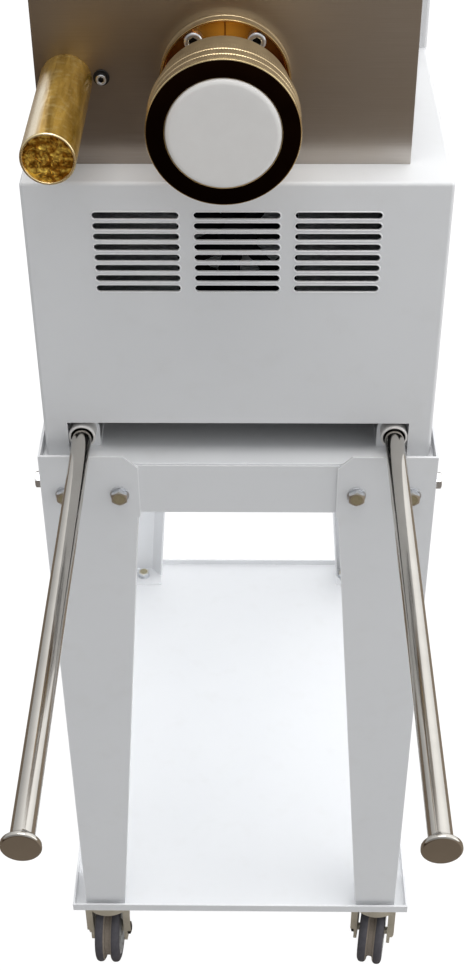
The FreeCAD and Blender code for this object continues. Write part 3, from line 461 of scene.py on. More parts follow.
def brushed_stainless():
    """Front plate: grain across it, paler to the right as painted light, with dull handling marks."""
    s = Surface("brushed_stainless", 1.0)
    grain = s.noise(0.5, 4, s.stretched(90, 1, 1))
    smear = s.spread(s.noise(60, 5), 0.0, 1.0, 0.45, 0.75)
    # Painted light: the steel's colour grades from darker on the left to paler on the right.
    left = s.mix(grain, (0.32, 0.275, 0.235), (0.42, 0.37, 0.33))
    right = s.mix(grain, (0.48, 0.445, 0.41), (0.62, 0.585, 0.55))
    steel = s.mix(s.spread(s.coordinate("X"), 0.0, 1.0, -80 * MM, 130 * MM), left, right)
    s.set("Base Color", s.mix(s.combine(smear, 0.4, "MULTIPLY"), steel, (0.46, 0.40, 0.33)))
    s.set("Roughness", s.combine(s.spread(grain, 0.30, 0.40), s.spread(smear, 0.0, 0.05)))
    s.set("Anisotropic", 0.5)
    s.bump((grain, 0.006))
    return s.material


def aged_brass():
    """Handled brass bar: patina in streaks along it, and a pale cream band of painted highlight along its left
    side.
    """
    s = Surface("aged_brass", 0.72)
    streak = s.noise(7, 5, s.stretched(1, 1, 7), 0.6)
    mottle = s.noise(5, 6)
    patina = s.mix(s.spread(streak, 0, 1, 0.35, 0.65), (0.38, 0.21, 0.02), (0.78, 0.48, 0.09))
    # Painted highlight: a cream band down the bar's left side, near its front end.
    across = s.combine(s.coordinate("X"), s.spread(streak, -4 * MM, 4 * MM))
    left_side = s.spread(across, 0.0, 1.0, 4 * MM, 8 * MM)
    near_front = s.spread(s.coordinate("Z"), 1.0, 0.0, 70 * MM, 105 * MM)
    painted_highlight_stripe = s.combine(left_side, near_front, "MULTIPLY")
    handled = s.mix(s.spread(mottle, 0, 0.6, 0.5, 0.8), patina, (0.88, 0.68, 0.30))
    s.set("Base Color", s.mix(painted_highlight_stripe, handled, (0.96, 0.82, 0.60)))
    s.set("Roughness", s.spread(mottle, 0.16, 0.30))
    s.bump((s.noise(0.9, 3), 0.008), (s.noise(9, 2), 0.06))
    return s.material


def recess_brass_painted_reflection():
    """Rough recess in the post's end, in painted reflection: dark gold with bright yellow blotches."""
    s = Surface("recess_brass_painted_reflection", 0.85)
    # Painted reflection: noise blotches go from dark orange-brown to bright yellow glints.
    painted_glint = s.spread(s.noise(8.0, 4, None, 1.6), 0.0, 1.0, 0.44, 0.62)
    s.set("Base Color", s.mix(painted_glint, (0.36, 0.15, 0.010), (1.0, 0.66, 0.12)))
    s.set("Roughness", s.spread(painted_glint, 0.12, 0.26))
    s.bump((s.noise(2.4, 3), 0.06))
    return s.material


def bronze(name="cast_bronze", low=(0.64, 0.48, 0.27), high=(0.86, 0.69, 0.43), smooth=0.28):
    """Machined bronze, a little clouded, with fine tool marks."""
    s = Surface(name, 1.0)
    cloud = s.noise(9, 5)
    tool_marks = s.noise(0.35, 2)
    s.set("Base Color", s.mix(cloud, low, high))
    s.set("Roughness", s.combine(s.spread(cloud, smooth, smooth + 0.12), s.spread(tool_marks, 0.0, 0.06)))
    s.bump((tool_marks, 0.004))
    return s.material


def painted_dark_reflection():
    """The ring nut's polished face in painted reflection: almost black brown, with faint turning rings."""
    s = Surface("bronze_face_painted_dark_reflection", 1.0)
    rings = s.nodes.new("ShaderNodeTexNoise")
    rings.noise_dimensions = "1D"
    rings.inputs["Scale"].default_value = 2600.0
    s.links.new(s.axis_radius(), rings.inputs["W"])
    # Painted reflection: a near-black base colour on a bronze face.
    s.set("Base Color", s.mix(s.noise(18, 4), (0.018, 0.007, 0.003), (0.040, 0.019, 0.008)))
    s.set("Roughness", s.spread(rings.outputs[0], 0.10, 0.20))
    s.bump((rings.outputs[0], 0.0015))
    return s.material


def recess_floor():
    """Floor of the flange's recess in painted reflection: an orange glow at the top, red-brown at the sides, with
    a seam.
    """
    s = Surface("recess_bronze_painted_reflection", 0.6)
    # Painted reflection: brightest orange high up and near the middle, red-brown lower down and to the sides.
    height = s.spread(s.coordinate("Y"), 0.0, 1.0, 14 * MM, 36 * MM)
    across = s.combine(s.coordinate("X"), 0.0, "ABSOLUTE")
    seam = s.spread(across, 0.0, 1.0, 0.2 * MM, 0.9 * MM)
    beside = s.spread(across, 1.0, 0.25, 4 * MM, 26 * MM)
    tint = s.mix(s.combine(height, beside, "MULTIPLY"), (0.14, 0.030, 0.006), (1.0, 0.52, 0.07))
    s.set("Base Color", s.mix(seam, (0.22, 0.07, 0.01), tint))
    s.set("Roughness", s.spread(s.noise(2, 3), 0.16, 0.28))
    s.bump((s.noise(0.35, 2), 0.004))
    return s.material


def cast_steel():
    """Bare steel of the barrel, the shafts and the gears."""
    s = Surface("bare_steel", 1.0)
    s.set("Base Color", s.mix(s.noise(12, 5), (0.34, 0.34, 0.34), (0.52, 0.51, 0.50)))
    s.set("Roughness", s.spread(s.noise(3, 4), 0.30, 0.48))
    s.bump((s.noise(1.0, 3), 0.02))
    return s.material


def motor_enamel():
    """Grey enamel of the drive motor."""
    s = Surface("motor_enamel")
    s.set("Base Color", s.mix(s.noise(30, 4), (0.16, 0.17, 0.18), (0.22, 0.23, 0.24)))
    s.set("Roughness", 0.45)
    s.bump((s.noise(2.0, 3), 0.04))
    return s.material


def moulded(name, low, high):
    """Moulded plastic with a fine spark-eroded texture."""
    s = Surface(name)
    s.set("Base Color", s.mix(s.noise(6, 3), low, high))
    s.set("Roughness", s.spread(s.noise(3, 3), 0.42, 0.56))
    s.bump((s.noise(0.5, 2), 0.02))
    return s.material


def fan_plastic():
    """Sooty black plastic of the fan behind the vents."""
    s = Surface("fan_plastic")
    s.set("Base Color", s.mix(s.noise(8, 4), (0.004, 0.004, 0.005), (0.010, 0.010, 0.011)))
    s.set("Roughness", 0.85)
    s.set("Specular IOR Level", 0.02)
    s.bump((s.noise(0.8, 2), 0.02))
    return s.material


def make_materials():
    """{record slot: material}"""
    return {
        "white_paint": powder_coat(),
        "zinc_steel": zinc_plate(),
        "black_oxide": black_oxide(),
        "hub_nylon": hub_nylon(),
        "wheel_rubber": wheel_rubber(),
        "bolt_steel": plated_bolt(),
        "washer_steel": bright_washer(),
        "chromed_rod": chrome(),
        "white_nylon": white_nylon(),
        "brushed_stainless": brushed_stainless(),
        "aged_brass": aged_brass(),
        "bronze": bronze(),
        "cast_steel": cast_steel(),
        "motor_grey": motor_enamel(),
        "black_plastic": moulded("black_plastic_moulded", (0.020, 0.020, 0.022), (0.034, 0.034, 0.036)),
        "green_plastic": moulded("green_plastic_moulded", (0.020, 0.230, 0.060), (0.030, 0.290, 0.080)),
        "red_plastic": moulded("red_plastic_moulded", (0.420, 0.018, 0.015), (0.520, 0.030, 0.022)),
    }


# ---------------------------------------------------------------- shapes

Point = namedtuple("Point", "radius height form slot", defaults=("round", 0))
KNURL_TEETH = 180
KNURL_DEPTH = 0.28
SPOKES = 6
WEB_DEPTH = 2.6
SMALL_SCREW = 5.0           # socket screws with a head radius under this have a black washer, painted shadow round the head
KNOB_BELOW = 1180.0         # the selector's bezel is lower than this, and the buttons' bezels are higher


def hexagon_radius(angle, half_flats):
    """Distance from a hexagon's centre to its outline at that angle."""
    return half_flats / math.cos((angle + math.pi / 6) % (math.pi / 3) - math.pi / 6)


def formed(point, angle):
    """(radius, height) of a profile point at that angle round the axis."""
    if point.form == "hexagon":
        return hexagon_radius(angle, point.radius), point.height
    if point.form == "chamfered":
        corner = hexagon_radius(angle, point.radius)
        return corner, point.height + (corner - point.radius) * math.tan(math.radians(30))
    if point.form == "knurl":
        return point.radius - KNURL_DEPTH * (0.5 + 0.5 * math.cos(KNURL_TEETH * angle)), point.height
    if point.form == "web":
        between = min(1.0, max(0.0, 0.5 - 1.6 * math.cos(SPOKES * angle)))
        return point.radius, point.height - math.copysign(WEB_DEPTH * between, point.height)
    return point.radius, point.height


def rounded(profile, radius, steps=4):
    """The profile with its corners rounded, apart from both ends."""
    result = [profile[0]]
    for before, corner, after in zip(profile, profile[1:], profile[2:]):
        middle = Vector((corner.radius, corner.height))
        to_before = Vector((before.radius, before.height)) - middle
        to_after = Vector((after.radius, after.height)) - middle
        reach = min(radius, 0.45 * to_before.length, 0.45 * to_after.length)
        first = middle + to_before.normalized() * reach
        last = middle + to_after.normalized() * reach
        for k in range(steps + 1):
            t = k / steps
            p = first * (1 - t) ** 2 + middle * 2 * t * (1 - t) + last * t ** 2
            result.append(Point(p.x, p.y, corner.form, corner.slot))
    result.append(profile[-1])
    return result


def facing(place, axis):
    """A frame at place, in mm, whose Z axis points along axis."""
    return Matrix.Translation(Vector(place)) @ Vector(axis).to_track_quat("Z", "Y").to_matrix().to_4x4()


class Shape:
    """Points in mm and faces, gathered before they become one object."""

    def __init__(self):
        self.points = []
        self.faces = []
        self.slots = []

    def turned(self, profile, place=Matrix(), steps=64, closed=False):
        """Turns a profile about place's Z axis. A profile end on the axis closes to one point. The faces
        look outwards where the profile runs outwards at its lower end first and then up."""
        rings = []
        for point in profile:
            count = 1 if point.radius == 0 else steps
            rings.append(list(range(len(self.points), len(self.points) + count)))
            for k in range(count):
                angle = 2 * math.pi * k / steps
                radius, height = formed(point, angle)
                local = Vector((radius * math.cos(angle), radius * math.sin(angle), height))
                self.points.append(place @ local)
        pairs = list(zip(range(len(rings)), range(1, len(rings))))
        if closed:
            pairs.append((len(rings) - 1, 0))
        for low, high in pairs:
            for k in range(steps):
                corners = [rings[low][k % len(rings[low])], rings[low][(k + 1) % len(rings[low])],
                           rings[high][(k + 1) % len(rings[high])], rings[high][k % len(rings[high])]]
                self.face(list(dict.fromkeys(corners)), profile[low].slot)

    def face(self, corners, slot=0):
        if len(corners) > 2:
            self.faces.append(corners)
            self.slots.append(slot)

    def piece(self, name, body, materials, place=Matrix(), sharp=35.0):
        """Makes the object, with its origin at place, and lets it ride on body."""
        mesh = bpy.data.meshes.new(name)
        mesh.from_pydata([p * MM for p in self.points], [], self.faces)
        for polygon, material_index in zip(mesh.polygons, self.slots):
            polygon.use_smooth = True
            polygon.material_index = material_index
        mesh.set_sharp_from_angle(angle=math.radians(sharp))
        for material in materials:
            mesh.materials.append(material)
        mesh.update()
        obj = bpy.data.objects.new(name, mesh)
        bpy.context.scene.collection.objects.link(obj)
        obj.modifiers.new("normals", "WEIGHTED_NORMAL").keep_sharp = True
        spot = place.copy()
        spot.translation = spot.translation * MM
        obj.matrix_world = spot
        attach(obj, body)
        return obj


def span(node):
    """(lowest corner, highest corner) of a CAD node, in mm."""
    low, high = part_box(node)
    return low / MM, high / MM


def solids(node):
    """(lowest corner, highest corner) in mm of each separate solid in a CAD node."""
    mesh = NODES[node].data
    keys = [tuple(round(c, 6) for c in v.co) for v in mesh.vertices]
    parent = {key: key for key in keys}

    def root(key):
        while parent[key] != key:
            parent[key] = parent[parent[key]]
            key = parent[key]
        return key

    for polygon in mesh.polygons:
        first = root(keys[polygon.vertices[0]])
        for index in polygon.vertices[1:]:
            parent[root(keys[index])] = first
    groups = {}
    for key in parent:
        groups.setdefault(root(key), []).append(key)
    boxes = []
    for members in groups.values():
        low = Vector([min(p[i] for p in members) for i in range(3)])
        high = Vector([max(p[i] for p in members) for i in range(3)])
        boxes.append((low / MM, high / MM))
    return sorted(boxes, key=lambda box: tuple(box[0]))


# ---------------------------------------------------------------- die head

def round_node(node):
    """(frame at the front end of a round node, its radius, its length). The frame's Z points backwards."""
    low, high = span(node)
    centre = (low + high) / 2
    return facing((centre.x, low.y, centre.z), Y_AXIS), (high.x - low.x) / 2, high.y - low.y


def ring_nut():
    """Knurled bronze ring with a near-black face of painted reflection between two thin rims of paler bronze as
    painted highlight.
    """
    place, radius, length = round_node("ring_nut")
    mouth = round_node("die_plug")[1] - 1.2
    collar = radius - 4.7
    step = 26.5
    profile = [
        Point(mouth, 0.9, slot=1),
        Point(mouth + 0.5, 0.1, slot=2),
        Point(mouth + 0.8, 0.0, slot=2),
        Point(radius - 1.0, 0.0, slot=2),
        Point(radius - 0.8, 0.0, slot=1),
        Point(radius - 0.3, 0.25, slot=1),
        Point(radius, 0.9, slot=1),
        Point(radius, 1.6),
    ]
    for start, end in ((2.2, 8.4), (9.8, 17.2), (18.6, 25.2)):
        profile += [
            Point(radius - 0.55, start - 0.3),
            Point(radius - 0.05, start, "knurl"),
            Point(radius - 0.05, (start + end) / 2, "knurl"),
            Point(radius - 0.05, end, "knurl"),
            Point(radius - 0.55, end + 0.3),
            Point(radius - 0.75, end + 0.5),
        ]
    profile += [
        Point(radius - 0.6, step),
        Point(collar, step),
        Point(collar, length - 0.8),
        Point(collar - 0.8, length),
        Point(45.2, length),
        Point(45.2, 8.0),
        Point(mouth, 7.0),
    ]
    shape = Shape()
    shape.turned(profile, steps=4 * KNURL_TEETH, closed=True)
    # Painted highlight: the rims are a paler, smoother copy of the bronze.
    rim = bronze("bronze_rim_painted_highlight", (0.80, 0.60, 0.30), (0.90, 0.72, 0.42), 0.16)
    materials = [MATERIALS["bronze"], rim, painted_dark_reflection()]
    ring = shape.piece("ring_nut_knurled", "die_ring", materials, place)
    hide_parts("ring_nut")


def die_plug():
    """The white blanking die: a flat disc with a generously rounded edge."""
    place, shoulder, length = round_node("die_plug")
    face = shoulder - 1.3
    proud = 1.0
    profile = [
        Point(0, -proud),
        Point(face - 6.0, -proud),
        Point(face - 2.6, 0.2 - proud),
        Point(face - 0.7, 1.3 - proud),
        Point(face, 3.2 - proud),
        Point(face, 8.6),
        Point(shoulder, 8.6),
        Point(shoulder, length),
        Point(0, length),
    ]
    shape = Shape()
    shape.turned(rounded(profile, 1.6), steps=128)
    plug = shape.piece("die_plug_turned", "machine", [MATERIALS["white_nylon"]], place)
    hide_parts("die_plug")


def die_flange():
    """The bronze body behind the ring: dull band, an edge of paler bronze as painted highlight, a polished recess
    in painted reflection, neck and cup.
    """
    low, high = span("die_flange")
    centre = (low + high) / 2
    radius = (high.x - low.x) / 2
    front = high.y - span("flange_screws")[0].y
    length = high.y - low.y
    recess = radius - 2.0
    cup = 45.0
    profile = [
        Point(24.0, 0.0),
        Point(radius - 0.5, 0.0),
        Point(radius, 0.5),
        Point(radius, 3.6),
        Point(radius - 0.4, 4.0),
        Point(radius, 4.4),
        Point(radius, front - 1.0, slot=1),
        Point(radius - 0.6, front, slot=1),
        Point(recess + 0.5, front, slot=1),
        Point(recess, front - 0.6, slot=2),
        Point(recess - 0.6, 4.4, slot=2),
        Point(recess - 1.5, 3.5, slot=3),
        Point(29.5, 3.5, slot=3),
        Point(28.0, 5.0),
        Point(28.0, 38.0),
        Point(cup, 38.0),
        Point(cup, length),
        Point(41.0, length),
        Point(41.0, length - 8.0),
        Point(24.0, length - 8.0),
    ]
    shape = Shape()
    shape.turned(profile, steps=160, closed=True)
    place = facing((centre.x, high.y, centre.z), -Y_AXIS)
    # Painted highlight on the front edge, and an orange painted reflection on the recess wall.
    edge = bronze("bronze_edge_painted_highlight", (0.82, 0.58, 0.26), (0.92, 0.70, 0.38), 0.14)
    wall = bronze("bronze_wall_painted_reflection", (0.80, 0.33, 0.05), (0.92, 0.46, 0.10), 0.10)
    materials = [MATERIALS["bronze"], edge, wall, recess_floor()]
    body = shape.piece("die_flange_turned", "machine", materials, place)
    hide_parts("die_flange")


def cutter_post():
    """Brass bar with a rim of paler brass as painted highlight, round a rough recess."""
    place, radius, length = round_node("cutter_post")
    recess = radius - 2.0
    depth = 2.4
    profile = [
        Point(recess, depth, slot=1),
        Point(recess, 0.5, slot=1),
        Point(recess + 0.5, 0.0, slot=1),
        Point(radius - 0.8, 0.0, slot=1),
        Point(radius, 1.0),
        Point(radius, length - 0.6),
        Point(radius - 0.6, length),
        Point(0, length),
    ]
    shape = Shape()
    shape.turned(profile, steps=96)
    rough_face(shape, recess, depth)
    # Painted highlight: the end face's rim is a paler, smoother copy of the brass.
    rim = bronze("brass_rim_painted_highlight", (0.86, 0.66, 0.34), (0.95, 0.80, 0.50), 0.18)
    post = shape.piece("cutter_post_brass", "machine",
                       [MATERIALS["aged_brass"], rim, recess_brass_painted_reflection()], place, sharp=60.0)
    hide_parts("cutter_post")


def rough_face(shape, radius, depth):
    """A crumpled disc on the Z axis that meets a recess's wall."""
    rings = 30
    steps = 96
    noise_height = 3.0
    fold_depth = 1.3
    previous = [len(shape.points)]
    shape.points.append(Vector((0, 0, depth)))
    for ring in range(1, rings + 1):
        reach = radius * ring / rings
        current = list(range(len(shape.points), len(shape.points) + steps))
        fade = 1.0 - (ring / rings) ** 8
        for k in range(steps):
            angle = 2 * math.pi * k / steps
            spot = Vector((reach * math.cos(angle), reach * math.sin(angle), noise_height))
            warp = noise.noise_vector(spot * 0.22) * 3.0
            folds = noise.ridged_multi_fractal((spot + warp) * 0.13, 0.9, 2.2, 4, 1.0, 2.0)
            shape.points.append(Vector((spot.x, spot.y, depth - fold_depth * fade * (folds - 0.9))))
        for k in range(steps):
            after = (k + 1) % steps
            inner = [previous[after % len(previous)], previous[k % len(previous)]]
            shape.face(list(dict.fromkeys([*inner, current[k], current[after]])), 2)
        previous = current


# ---------------------------------------------------------------- screws and bolts

def cap_screw(shape, place, radius, head, length):
    """A socket cap screw. place is the top of its head, with Z down the shank."""
    socket = 0.46 * radius
    shank = 0.6 * radius
    profile = [
        Point(0, 0.6 * head, slot=2),
        Point(socket, 0.6 * head, "hexagon", 2),
        Point(socket, 0.3, "hexagon", 1),
        Point(socket + 0.6, 0.0, slot=1),
        Point(0.76 * radius, 0.0, slot=1),
        Point(0.90 * radius, 0.25),
        Point(radius, 0.9),
        Point(radius, head - 0.2),
        Point(radius - 0.2, head),
        Point(shank, head),
        Point(shank, length),
        Point(0, length),
    ]
    shape.turned(profile, place, steps=48)


def painted_shadow_washer(shape, place, radius, head):
    """A thin dark washer under a small screw's head, as painted shadow round it. place is the top of the head."""
    bore = radius - 0.1
    rim = radius + 1.7
    profile = [
        Point(bore, head - 0.5),
        Point(rim - 0.2, head - 0.5),
        Point(rim, head - 0.3),
        Point(rim, head),
        Point(bore, head),
    ]
    shape.turned(profile, place, steps=48, closed=True)


def cap_screws(node, name, side):
    """Replaces a node's socket screws, which all lie along Y, by detailed ones."""
    shape = Shape()
    for low, high in solids(node):
        centre = (low + high) / 2
        radius = (high.x - low.x) / 2
        inwards = 1 if centre.y < 0 else -1
        top = low.y if inwards == 1 else high.y
        small = radius < SMALL_SCREW
        head = 4.5 if small else 8.0
        place = facing((centre.x, top, centre.z), Y_AXIS * inwards)
        cap_screw(shape, place, radius, head, high.y - low.y)
        if small:
            painted_shadow_washer(shape, place, radius, head)
    screws = shape.piece(name, "machine", [side, MATERIALS["washer_steel"], socket_shadow()])
    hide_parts(node)


def hex_bolt(shape, place, length):
    """An M8 hexagon bolt. place is the top of its head, with Z down the shank."""
    half_flats = 6.5
    head = 5.3
    profile = [
        Point(0, 0.0),
        Point(4.9, 0.0, slot=1),
        Point(6.0, 0.1, slot=1),
        Point(half_flats, 0.4, "chamfered", 2),
        Point(half_flats, head - 0.5, "hexagon", 2),
        Point(half_flats - 0.2, head, slot=2),
        Point(4.0, head),
        Point(4.0, length - 0.8),
        Point(3.2, length),
        Point(0, length),
    ]
    shape.turned(profile, place, steps=72)


def stand_bolts():
    """Hexagon bolts at the legs' tops and feet, with their heads outside or on top."""
    middle = sum(span("side_beams"), Vector()) / 2
    shape = Shape()
    for low, high in solids("stand_bolts"):
        size = high - low
        centre = (low + high) / 2
        along = max(range(3), key=lambda axis: size[axis])
        outwards = Vector((0, 0, 0))
        outwards[along] = 1 if along == 2 or centre[along] > middle[along] else -1
        hex_bolt(shape, facing(centre + outwards * size[along] / 2, -outwards), size[along])
    # Painted highlights: each head's chamfer ring is a paler copy of the plating and its flanks are bright zinc,
    # round an olive top.
    rim = bronze("bolt_rim_painted_highlight", (0.74, 0.72, 0.64), (0.86, 0.84, 0.78), 0.20)
    materials = [MATERIALS["bolt_steel"], rim, MATERIALS["washer_steel"]]
    bolts = shape.piece("stand_bolts_hexagon", "machine", materials)
    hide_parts("stand_bolts")


# ---------------------------------------------------------------- tray rails

def tray_rail(side):
    """A chromed rod with a rounded end flange in front and a stop collar at the back."""
    node = "tray_rail_" + side
    place, radius, length = round_node(node)
    rod = 8.0
    collar = 10.5
    profile = [
        Point(0, 0.0),
        Point(radius - 1.0, 0.0),
        Point(radius, 0.9),
        Point(radius, 3.2),
        Point(radius - 0.9, 4.1),
        Point(rod + 1.8, 4.4),
        Point(rod, 8.0),
        Point(rod, length - 8.2),
        Point(collar - 0.4, length - 8.0),
        Point(collar, length - 7.6),
        Point(collar, length - 0.5),
        Point(collar - 0.5, length),
        Point(0, length),
    ]
    shape = Shape()
    shape.turned(rounded(profile, 0.8, 3), steps=96)
    materials = [MATERIALS["chromed_rod"]]
    rail = shape.piece("tray_rail_rod_" + side, "rail_" + side, materials, place)
    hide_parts(node)


def rail_bushes():
    """White bushes round the rods, each with a wide relief at its mouth, painted near black as shadow so that it
    shows as a dark gap.
    """
    shape = Shape()
    bore = 8.05
    for low, high in solids("rail_bushes"):
        centre = (low + high) / 2
        outer = (high.x - low.x) / 2
        length = high.y - low.y
        profile = [
            Point(bore, 4.5, slot=1),
            Point(9.0, 3.5, slot=1),
            Point(9.2, 0.4),
            Point(9.5, 0.0),
            Point(outer - 0.5, 0.0),
            Point(outer, 0.5),
            Point(outer, length - 0.4),
            Point(outer - 0.4, length),
            Point(bore + 0.4, length),
            Point(bore, length - 0.4),
        ]
        shape.turned(profile, facing((centre.x, low.y, centre.z), Y_AXIS), steps=72, closed=True)
    # The reliefs take the near-black painted shadow of the screw sockets.
    materials = [MATERIALS["white_nylon"], socket_shadow()]
    bushes = shape.piece("rail_bushes_turned", "machine", materials)
    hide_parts("rail_bushes")


# ---------------------------------------------------------------- casters

def axle_place(corner, towards=1):
    """A frame in the middle of a wheel whose Z axis is its axle."""
    joint = JOINTS["roll_" + corner]
    return facing(Vector(joint["pos_m"]) / MM, Vector(joint["axis"]) * towards)


def both_ways(half_profile):
    """A profile and its mirror image across height 0, joined up in the middle."""
    return half_profile + [point._replace(height=-point.height) for point in reversed(half_profile)]


def wheel_tyre(corner):
    """Twin round treads with a deep dusty groove between them."""
    half = 13.5
    radius = 37.5
    hub = 29.0
    profile = both_ways([
        Point(hub, -half),
        Point(33.0, -half),
        Point(36.4, -half + 1.6),
        Point(radius, -9.0),
        Point(radius - 0.3, -5.6),
        Point(34.6, -3.4, slot=1),
        Point(30.0, -2.6, slot=1),
    ])
    shape = Shape()
    shape.turned(rounded(profile, 1.6), steps=128, closed=True)
    materials = [MATERIALS["wheel_rubber"], DUST]
    tyre = shape.piece("twin_tyre_" + corner, "wheel_" + corner, materials,
                       axle_place(corner))
    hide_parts("wheel_tyre_" + corner)


def wheel_hub(corner):
    """A pale moulded hub with six spokes in each side's dish."""
    half = 13.5
    profile = both_ways([
        Point(4.05, -half + 0.4),
        Point(4.5, -half),
        Point(8.2, -half),
        Point(9.4, -half + 1.2),
        Point(10.4, -10.2),
        Point(12.0, -10.0, "web"),
        Point(23.0, -10.0, "web"),
        Point(24.6, -10.4),
        Point(25.8, -half + 0.8),
        Point(28.2, -half),
        Point(29.0, -half + 0.8),
    ])
    shape = Shape()
    shape.turned(rounded(profile, 0.8, 3), steps=120, closed=True)
    hub = shape.piece("spoked_hub_" + corner, "wheel_" + corner, [MATERIALS["hub_nylon"]],
                      axle_place(corner))
    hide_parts("wheel_hub_" + corner)


def caster_axle(corner):
    """The wheel's axle: a domed zinc head outside and a black nut on the inner side."""
    half = 20.0
    end = half + 4.0
    profile = [
        Point(0, -end),
        Point(4.6, -end + 0.3),
        Point(6.8, -end + 1.6),
        Point(6.8, -half),
        Point(4.0, -half),
        Point(4.0, half, slot=1),
        Point(6.8, half, slot=1),
        Point(6.0, half + 0.3, "hexagon", 1),
        Point(6.0, end - 1.2, "hexagon", 1),
        Point(5.0, end - 0.5, slot=1),
        Point(3.4, end - 0.4, slot=1),
        Point(3.0, end, slot=1),
        Point(0, end, slot=1),
    ]
    towards = 1 if corner.endswith("left") else -1
    shape = Shape()
    shape.turned(profile, steps=48)
    materials = [MATERIALS["zinc_steel"], MATERIALS["black_oxide"]]
    axle = shape.piece("axle_bolt_" + corner, "caster_" + corner, materials,
                       axle_place(corner, towards))
    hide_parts("caster_axle_" + corner)


# ---------------------------------------------------------------- vents

def slot_lips():
    """Rolled lips round the front vent slots, which catch the light from above."""
    low, high = span("lower_housing")
    top_row = high.z - 26.8
    row_pitch = 8.94
    group_pitch = 75.8
    shape = Shape()
    for group in (-1, 0, 1):
        for row in range(8):
            lip(shape, Vector((group * group_pitch, low.y, top_row - row_pitch * row)))
    shape.piece("vent_slot_lips", "machine", [MATERIALS["white_paint"]], sharp=80.0)


def lip(shape, centre):
    """A rolled section carried round the edge of the round-ended slot at centre."""
    half_length = 32.3
    half_height = 2.85
    section = ((-0.05, -0.9), (0.0, 0.3), (0.35, 0.55), (0.8, 0.45), (1.1, -0.1))     # (outwards, forwards)
    steps = 32
    rings = []
    for outwards, forwards in section:
        rings.append(list(range(len(shape.points), len(shape.points) + steps)))
        for k in range(steps):
            angle = 2 * math.pi * (k + 0.5) / steps
            reach = half_height + outwards
            x = math.copysign(half_length - half_height, math.cos(angle)) + reach * math.cos(angle)
            shape.points.append(centre + Vector((x, -forwards, reach * math.sin(angle))))
    for inner, outer in zip(rings, rings[1:] + rings[:1]):
        for k in range(steps):
            after = (k + 1) % steps
            shape.face([outer[k], outer[after], inner[after], inner[k]])


# ---------------------------------------------------------------- controls and cable gland

def side_frame(low, high):
    """A frame at the right-hand side of a box, with Z pointing back into it."""
    centre = (low + high) / 2
    return facing((high.x, centre.y, centre.z), -X_AXIS)


def push_button(name):
    """A shallow dished cap on a plain stem."""
    low, high = span(name)
    radius = (high.y - low.y) / 2
    profile = [
        Point(0, 0.9),
        Point(radius - 3.5, 0.6),
        Point(radius - 1.8, 0.0),
        Point(radius - 0.3, 0.6),
        Point(radius, 1.8),
        Point(radius, high.x - low.x),
        Point(0, high.x - low.x),
    ]
    shape = Shape()
    shape.turned(rounded(profile, 0.6, 3), steps=64)
    slot = SLOT_OF[name]
    cap = shape.piece(name + "_cap", name.split("_")[0], [MATERIALS[slot]], side_frame(low, high))
    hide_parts(name)


def switch_bezels():
    """Stepped bezels with a fine bright ring in each rim."""
    shape = Shape()
    for low, high in solids("switch_bezels"):
        radius = (high.y - low.y) / 2
        length = high.x - low.x
        bore = 4.05 if (low + high).z / 2 < KNOB_BELOW else 8.55
        profile = [
            Point(bore, length - 0.3),
            Point(bore, 0.5),
            Point(bore + 0.5, 0.0),
            Point(radius - 3.2, 0.0, slot=1),
            Point(radius - 2.6, 0.3, slot=1),
            Point(radius - 2.0, 0.0),
            Point(radius - 0.9, 0.1),
            Point(radius, 1.0),
            Point(radius, 3.0),
            Point(10.9, 3.0),
            Point(10.9, length - 0.5),
            Point(10.4, length),
            Point(bore + 0.3, length),
        ]
        shape.turned(profile, side_frame(low, high), steps=72, closed=True)
    materials = [MATERIALS["black_plastic"], MATERIALS["washer_steel"]]
    bezels = shape.piece("switch_bezels_stepped", "machine", materials)
    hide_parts("switch_bezels")


def cable_gland():
    """A hexagon body with a sealing dome and a threaded end."""
    low, high = span("cable_gland")
    centre = (low + high) / 2
    length = high.y - low.y
    profile = [
        Point(4.5, 0.6),
        Point(5.2, 0.0),
        Point(7.0, 0.2),
        Point(7.9, 2.0),
        Point(9.6, 11.4),
        Point(9.9, 12.0),
        Point(11.0, 12.2, "hexagon"),
        Point(11.0, 17.8, "hexagon"),
        Point(8.0, 18.0),
    ]
    thread = [Point(8.0 - 0.5 * (k % 2), 18.6 + 0.75 * k) for k in range(15)]
    profile += thread + [Point(7.4, length), Point(4.5, length)]
    shape = Shape()
    shape.turned(profile, steps=72, closed=True)
    gland = shape.piece("cable_gland_ribbed", "machine", [MATERIALS["black_plastic"]],
                        facing((centre.x, high.y, centre.z), -Y_AXIS))
    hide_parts("cable_gland")


# ---------------------------------------------------------------- CAD nodes that keep their shape

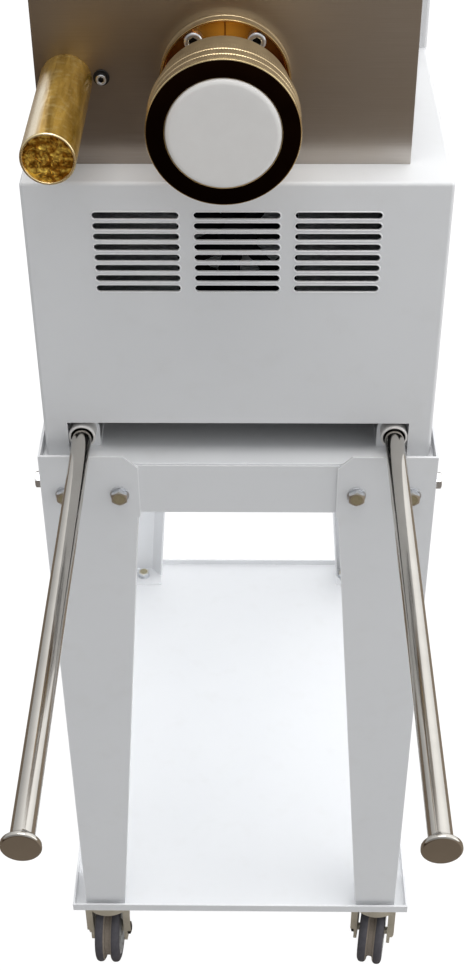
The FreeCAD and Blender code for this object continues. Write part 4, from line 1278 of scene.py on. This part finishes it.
# The width of the rounded edges in mm, by node or else by material slot.
EDGE_WIDTHS = {"lower_housing": 0.7, "leg_front_left": 0.9, "leg_front_right": 0.9, "leg_rear_left": 0.9,
               "leg_rear_right": 0.9, "white_paint": 0.45, "zinc_steel": 0.5, "brushed_stainless": 0.4,
               "washer_steel": 0.3, "bolt_steel": 0.4, "motor_grey": 0.8, "black_plastic": 0.4}


def soften(node, width):
    """Takes the knife edge off a node with modifiers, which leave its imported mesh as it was."""
    weld = node.modifiers.new("weld", "WELD")
    weld.merge_threshold = 1e-6
    flat = node.modifiers.new("flat_faces", "DECIMATE")
    flat.decimate_type = "DISSOLVE"
    flat.angle_limit = math.radians(1.0)
    bevel = node.modifiers.new("rounded_edges", "BEVEL")
    bevel.width = width * MM
    bevel.segments = 2
    bevel.limit_method = "ANGLE"
    bevel.angle_limit = math.radians(40)
    normals = node.modifiers.new("normals", "WEIGHTED_NORMAL")
    normals.weight = 80


def finish_cad_nodes():
    """Gives each CAD node its material and takes the knife edge off it."""
    for name, node in NODES.items():
        width = EDGE_WIDTHS.get(name, EDGE_WIDTHS.get(SLOT_OF[name]))
        if width and not node.hide_render:
            soften(node, width)
        for slot in node.material_slots:
            slot.link = "OBJECT"
            slot.material = NODE_MATERIALS.get(name, MATERIALS[SLOT_OF[name]])


make_camera()
make_world()
make_lights()
make_floor()
MATERIALS = make_materials()
DUST = tread_dust()
FAN_PLASTIC = fan_plastic()
NODE_MATERIALS = {
    # The lower housing's coat is near black inside, as painted shade.
    "lower_housing": powder_coat("powder_coat_painted_dark_inside", painted_dark_inside=True),
    # Painted light: the base pan's coat is a brighter copy of the white powder coat, which lifts it in the shaded
    # notch.
    "base_pan": powder_coat("powder_coat_painted_light", (0.90, 0.915, 0.94), (0.93, 0.94, 0.95)),
    "fan_frame": FAN_PLASTIC,
    "fan_rotor": FAN_PLASTIC,
}
ring_nut()
die_plug()
die_flange()
cutter_post()
cap_screws("flange_screws", "flange_cap_screws", MATERIALS["washer_steel"])
# The black washers round the panel screws' heads are painted shadow.
cap_screws("panel_screws", "panel_cap_screws", MATERIALS["black_oxide"])
stand_bolts()
for rail_side in ("left", "right"):
    tray_rail(rail_side)
rail_bushes()
for corner_name in ("front_left", "front_right", "rear_left", "rear_right"):
    wheel_tyre(corner_name)
    wheel_hub(corner_name)
    caster_axle(corner_name)
for button_name in ("start_button", "stop_button"):
    push_button(button_name)
slot_lips()
switch_bezels()
cable_gland()
finish_cad_nodes()

bpy.context.scene.view_settings.view_transform = "Standard"
